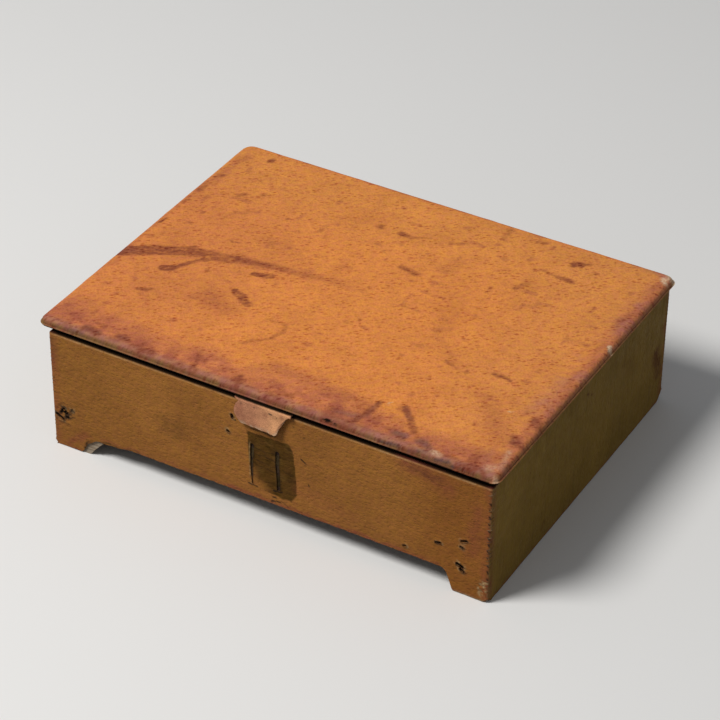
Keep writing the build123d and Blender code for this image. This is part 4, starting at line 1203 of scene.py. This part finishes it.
def strap():
    """The strap in the lid's painted shade, bright where the stub comes out of it and lighter to its right
    partly by painted light, frayed and pale at the torn end, partly by a painted highlight.
    """
    points, faces, run, across = strap_mesh()
    _, y, z = points.T
    skin = Skin(points, (0.54, 0.235, 0.125))
    shift = across + 4.0 * noise(points, 9.0, 104)
    shaded = np.maximum(smooth(y, -128.6, -127.6), smooth(z, 93.1, 93.9))
    # Lighter toward the stub's right: partly its own paler colour, partly painted light where that side curls
    # up toward the lamp.
    skin.coat(
        ((0.78, 0.38, 0.18), smooth(shift, -5.0, 9.0)),
        ((0.012, 0.008, 0.005), shaded),
        ((0.14, 0.062, 0.03), smooth(y, -124.0, -119.0)),
    )
    # Pale at the torn end: frayed fibres, and partly a painted highlight on the lit lower edge.
    end = smooth(run, 0.93, 0.995)
    skin.mark(PALE, end * 0.7 * skin.patches(1.8, 105, -0.4, 0.4))
    inner = np.arange(len(points)) >= len(points) // 2
    skin.mark(DARK, np.maximum(end * 0.25, inner * 0.35))
    skin.strokes(DARK, np.stack([across, z], 1), STRAP_SPOTS)
    skin.mark(RED, skin.patches(6.0, 106, 0.1, 0.8) * 0.4)
    skin.mark(RED, smooth(np.abs(across), 19.8, 21.0) * 0.5)
    skin.marks[:, RED:] *= 1 - shaded[:, None]
    piece = make("strap", points, faces, None, STRAP_SKIN, skin.fields(), turn=60)
    end = (STRAP_X * MM, BEND_Y * MM, (BEND_Z - 1.4) * MM)
    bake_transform(piece)
    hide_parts("strap_anchor", "strap_tab")


strap()


# ------------------------------------------------------------------ linings


def lining(node, axis, way, seed):
    """Paper on the face of a lining node that looks along one axis, slightly cockled, with its edges."""
    low, high = (np.array(v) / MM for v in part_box(node))
    others = [k for k in range(3) if k != axis]
    pitch = 3.0
    counts = [max(2, round((high[k] - low[k]) / pitch)) for k in others]
    a, b = np.meshgrid(*[np.linspace(low[k], high[k], n + 1) for k, n in zip(others, counts)], indexing="ij")
    points = np.zeros((a.size, 3))
    points[:, others[0]] = a.reshape(-1)
    points[:, others[1]] = b.reshape(-1)
    points[:, axis] = high[axis] if way > 0 else low[axis]
    cockle = 0.09 * noise(points, 20.0, seed) + 0.05 * noise(points, 6.0, seed + 1) - 0.13
    points[:, axis] += way * cockle
    faces = grid_faces(counts[0] + 1, counts[1] + 1)
    if vertex_normals(points, faces)[:, axis].mean() * way < 0:
        faces = faces[:, ::-1]
    points, faces, _ = thickened(points, faces, {}, PAPER_EDGE)
    body = "lid" if node == "lid_lining" else "case"
    make(f"{node}_paper", points, faces, body, PAPER, stands_for=[node])


for node, axis, way, seed in (
    ("left_lining", 0, 1, 110), ("right_lining", 0, -1, 112), ("front_lining", 1, 1, 114),
    ("back_lining", 1, -1, 116), ("floor_lining", 2, 1, 118), ("lid_lining", 2, -1, 120),
):
    lining(node, axis, way, seed)


# ------------------------------------------------------------------ hinge screws


def hinge_screws(name, node, body, up):
    """Slotted countersunk screws in the places of a node's screws."""
    low, high = (np.array(v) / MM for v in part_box(node))
    centre_y, face, length = (low[1] + high[1]) / 2, low[2] if up > 0 else high[2], high[2] - low[2]
    chance = np.random.default_rng(130 + up)
    sides, slot_depth, rim_depth, neck_depth = 48, 0.45, 0.1, 0.9
    turn = np.arange(sides) * 2 * math.pi / sides
    head = np.concatenate([np.linspace(0, SCREW_HEAD - 0.15, 14), [SCREW_HEAD - 0.03, SCREW_HEAD]])
    parts = []
    for x in [side * HINGE_X + way * SCREW_SPACING / 2 for side in (-1, 1) for way in (-1, 1)]:
        angle = chance.random() * math.pi
        r, t = np.meshgrid(np.concatenate([head, [SCREW_SHANK, SCREW_SHANK]]), turn, indexing="ij")
        off_slot = np.abs(r * np.sin(t - angle))
        depth = slot_depth * smooth(-off_slot, -0.36, -0.26) * (r < SCREW_HEAD - 0.01)
        depth += rim_depth * smooth(r, 1.5, SCREW_HEAD)
        depth[-2], depth[-1] = neck_depth, length
        points = np.stack([x + r * np.cos(t), centre_y + r * np.sin(t), face + up * depth], -1)
        faces = ring_faces(len(r), sides)
        parts.append((points.reshape(-1, 3), faces if up > 0 else faces[:, ::-1]))
    points, faces = together(parts)
    make(name, points, faces, body, BRASS, stands_for=[node], turn=35)


hinge_screws("case_screws", "case_hinge_screws", "case", -1)
hinge_screws("lid_screws", "lid_hinge_screws", "lid", 1)


# ------------------------------------------------------------------ CAD nodes that stay

blocks = [f"foot_block_{end}_{side}" for end in ("front", "back") for side in ("left", "right")]
hinges = [f"hinge_{piece}_{side}" for piece in ("case_leaf", "lid_leaf", "pin") for side in ("left", "right")]
for material, nodes in (
    (WOOD_X, ["front_board", "back_board", "floor_board", "lid_board"]),
    (WOOD_Y, ["left_board", "right_board", *blocks]),
    (IRON, ["corner_brads", "floor_brads", "strap_tacks"]),
    (BRASS, hinges),
):
    for node in nodes:
        shown = frame["nodes"][node]
        if not shown.material_slots:
            shown.data.materials.append(material)
        for holder in shown.material_slots:
            holder.link = "OBJECT"
            holder.material = material


# ------------------------------------------------------------------ floor, light and camera


def stage_floor():
    """A grey floor that looks lighter than it lights."""
    mesh = bpy.data.meshes.new("floor")
    reach = 8.0
    corners = [(-reach, -reach, 0), (reach, -reach, 0), (reach, reach, 0), (-reach, reach, 0)]
    mesh.from_pydata(corners, [], [(0, 1, 2, 3)])
    s = Surface("floor", Specular_IOR_Level=0.1, Roughness=0.9)
    colour = s.mix(s.seen(), (0.22, 0.22, 0.22), (0.78, 0.775, 0.765))
    s.link(colour, s.shader.inputs["Base Color"])
    mesh.materials.append(s.material)
    floor = bpy.data.objects.new("floor", mesh)
    bpy.context.scene.collection.objects.link(floor)


def lamp(name, place, size, power, colour):
    """A round area lamp turned toward the box. Its place and size are metres."""
    data = bpy.data.lights.new(name, "AREA")
    data.shape, data.size, data.energy, data.color = "DISK", size, power, colour
    obj = bpy.data.objects.new(name, data)
    obj.location = place
    obj.rotation_euler = (Vector((0, 0, 0.05)) - Vector(place)).to_track_quat("-Z", "Y").to_euler()
    bpy.context.scene.collection.objects.link(obj)


def world():
    """A weak fill light, and the light grey seen behind the floor."""
    studio = bpy.data.worlds.new("studio")
    studio.use_nodes = True
    bpy.context.scene.world = studio
    nodes = Nodes(studio.node_tree)
    fill = nodes.value(0, "Background", {"Color": (0.93, 0.96, 1.0, 1.0), "Strength": 0.22})
    shown = nodes.value(0, "Background", {"Color": (0.8, 0.795, 0.785, 1.0), "Strength": 1.0})
    nodes.add("OutputWorld", {"Surface": nodes.value(0, "MixShader", {0: nodes.seen(), 1: fill, 2: shown})})


def camera():
    """The main view: azimuth, elevation and roll in degrees, distances in millimetres."""
    azimuth, elevation, roll = (math.radians(v) for v in (29.703, 35.368, 0.613))
    distance, right_shift, up_shift, lens = 1895.78, -1.462, 40.541, 138.71
    level = math.cos(elevation)
    back = Vector((math.sin(azimuth) * level, -math.cos(azimuth) * level, math.sin(elevation)))
    right = Vector((0, 0, 1)).cross(back).normalized()
    up = back.cross(right)
    c, s = math.cos(roll), math.sin(roll)
    right, up = right * c + up * s, up * c - right * s
    data = bpy.data.cameras.new("camera")
    data.sensor_width, data.lens = 36.0, lens
    data.clip_start, data.clip_end = 0.05, 60.0
    obj = bpy.data.objects.new("camera", data)
    turn = Matrix((right, up, back)).transposed().to_4x4()
    place = (back * distance + right * right_shift + up * up_shift) * MM
    obj.matrix_world = Matrix.Translation(place) @ turn
    bpy.context.scene.collection.objects.link(obj)
    bpy.context.scene.camera = obj


stage_floor()
lamp("key", (-1.05, -1.35, 2.45), 1.1, 78.0, (1.0, 0.985, 0.96))
world()
camera()
bpy.context.scene.view_settings.view_transform = "Standard"
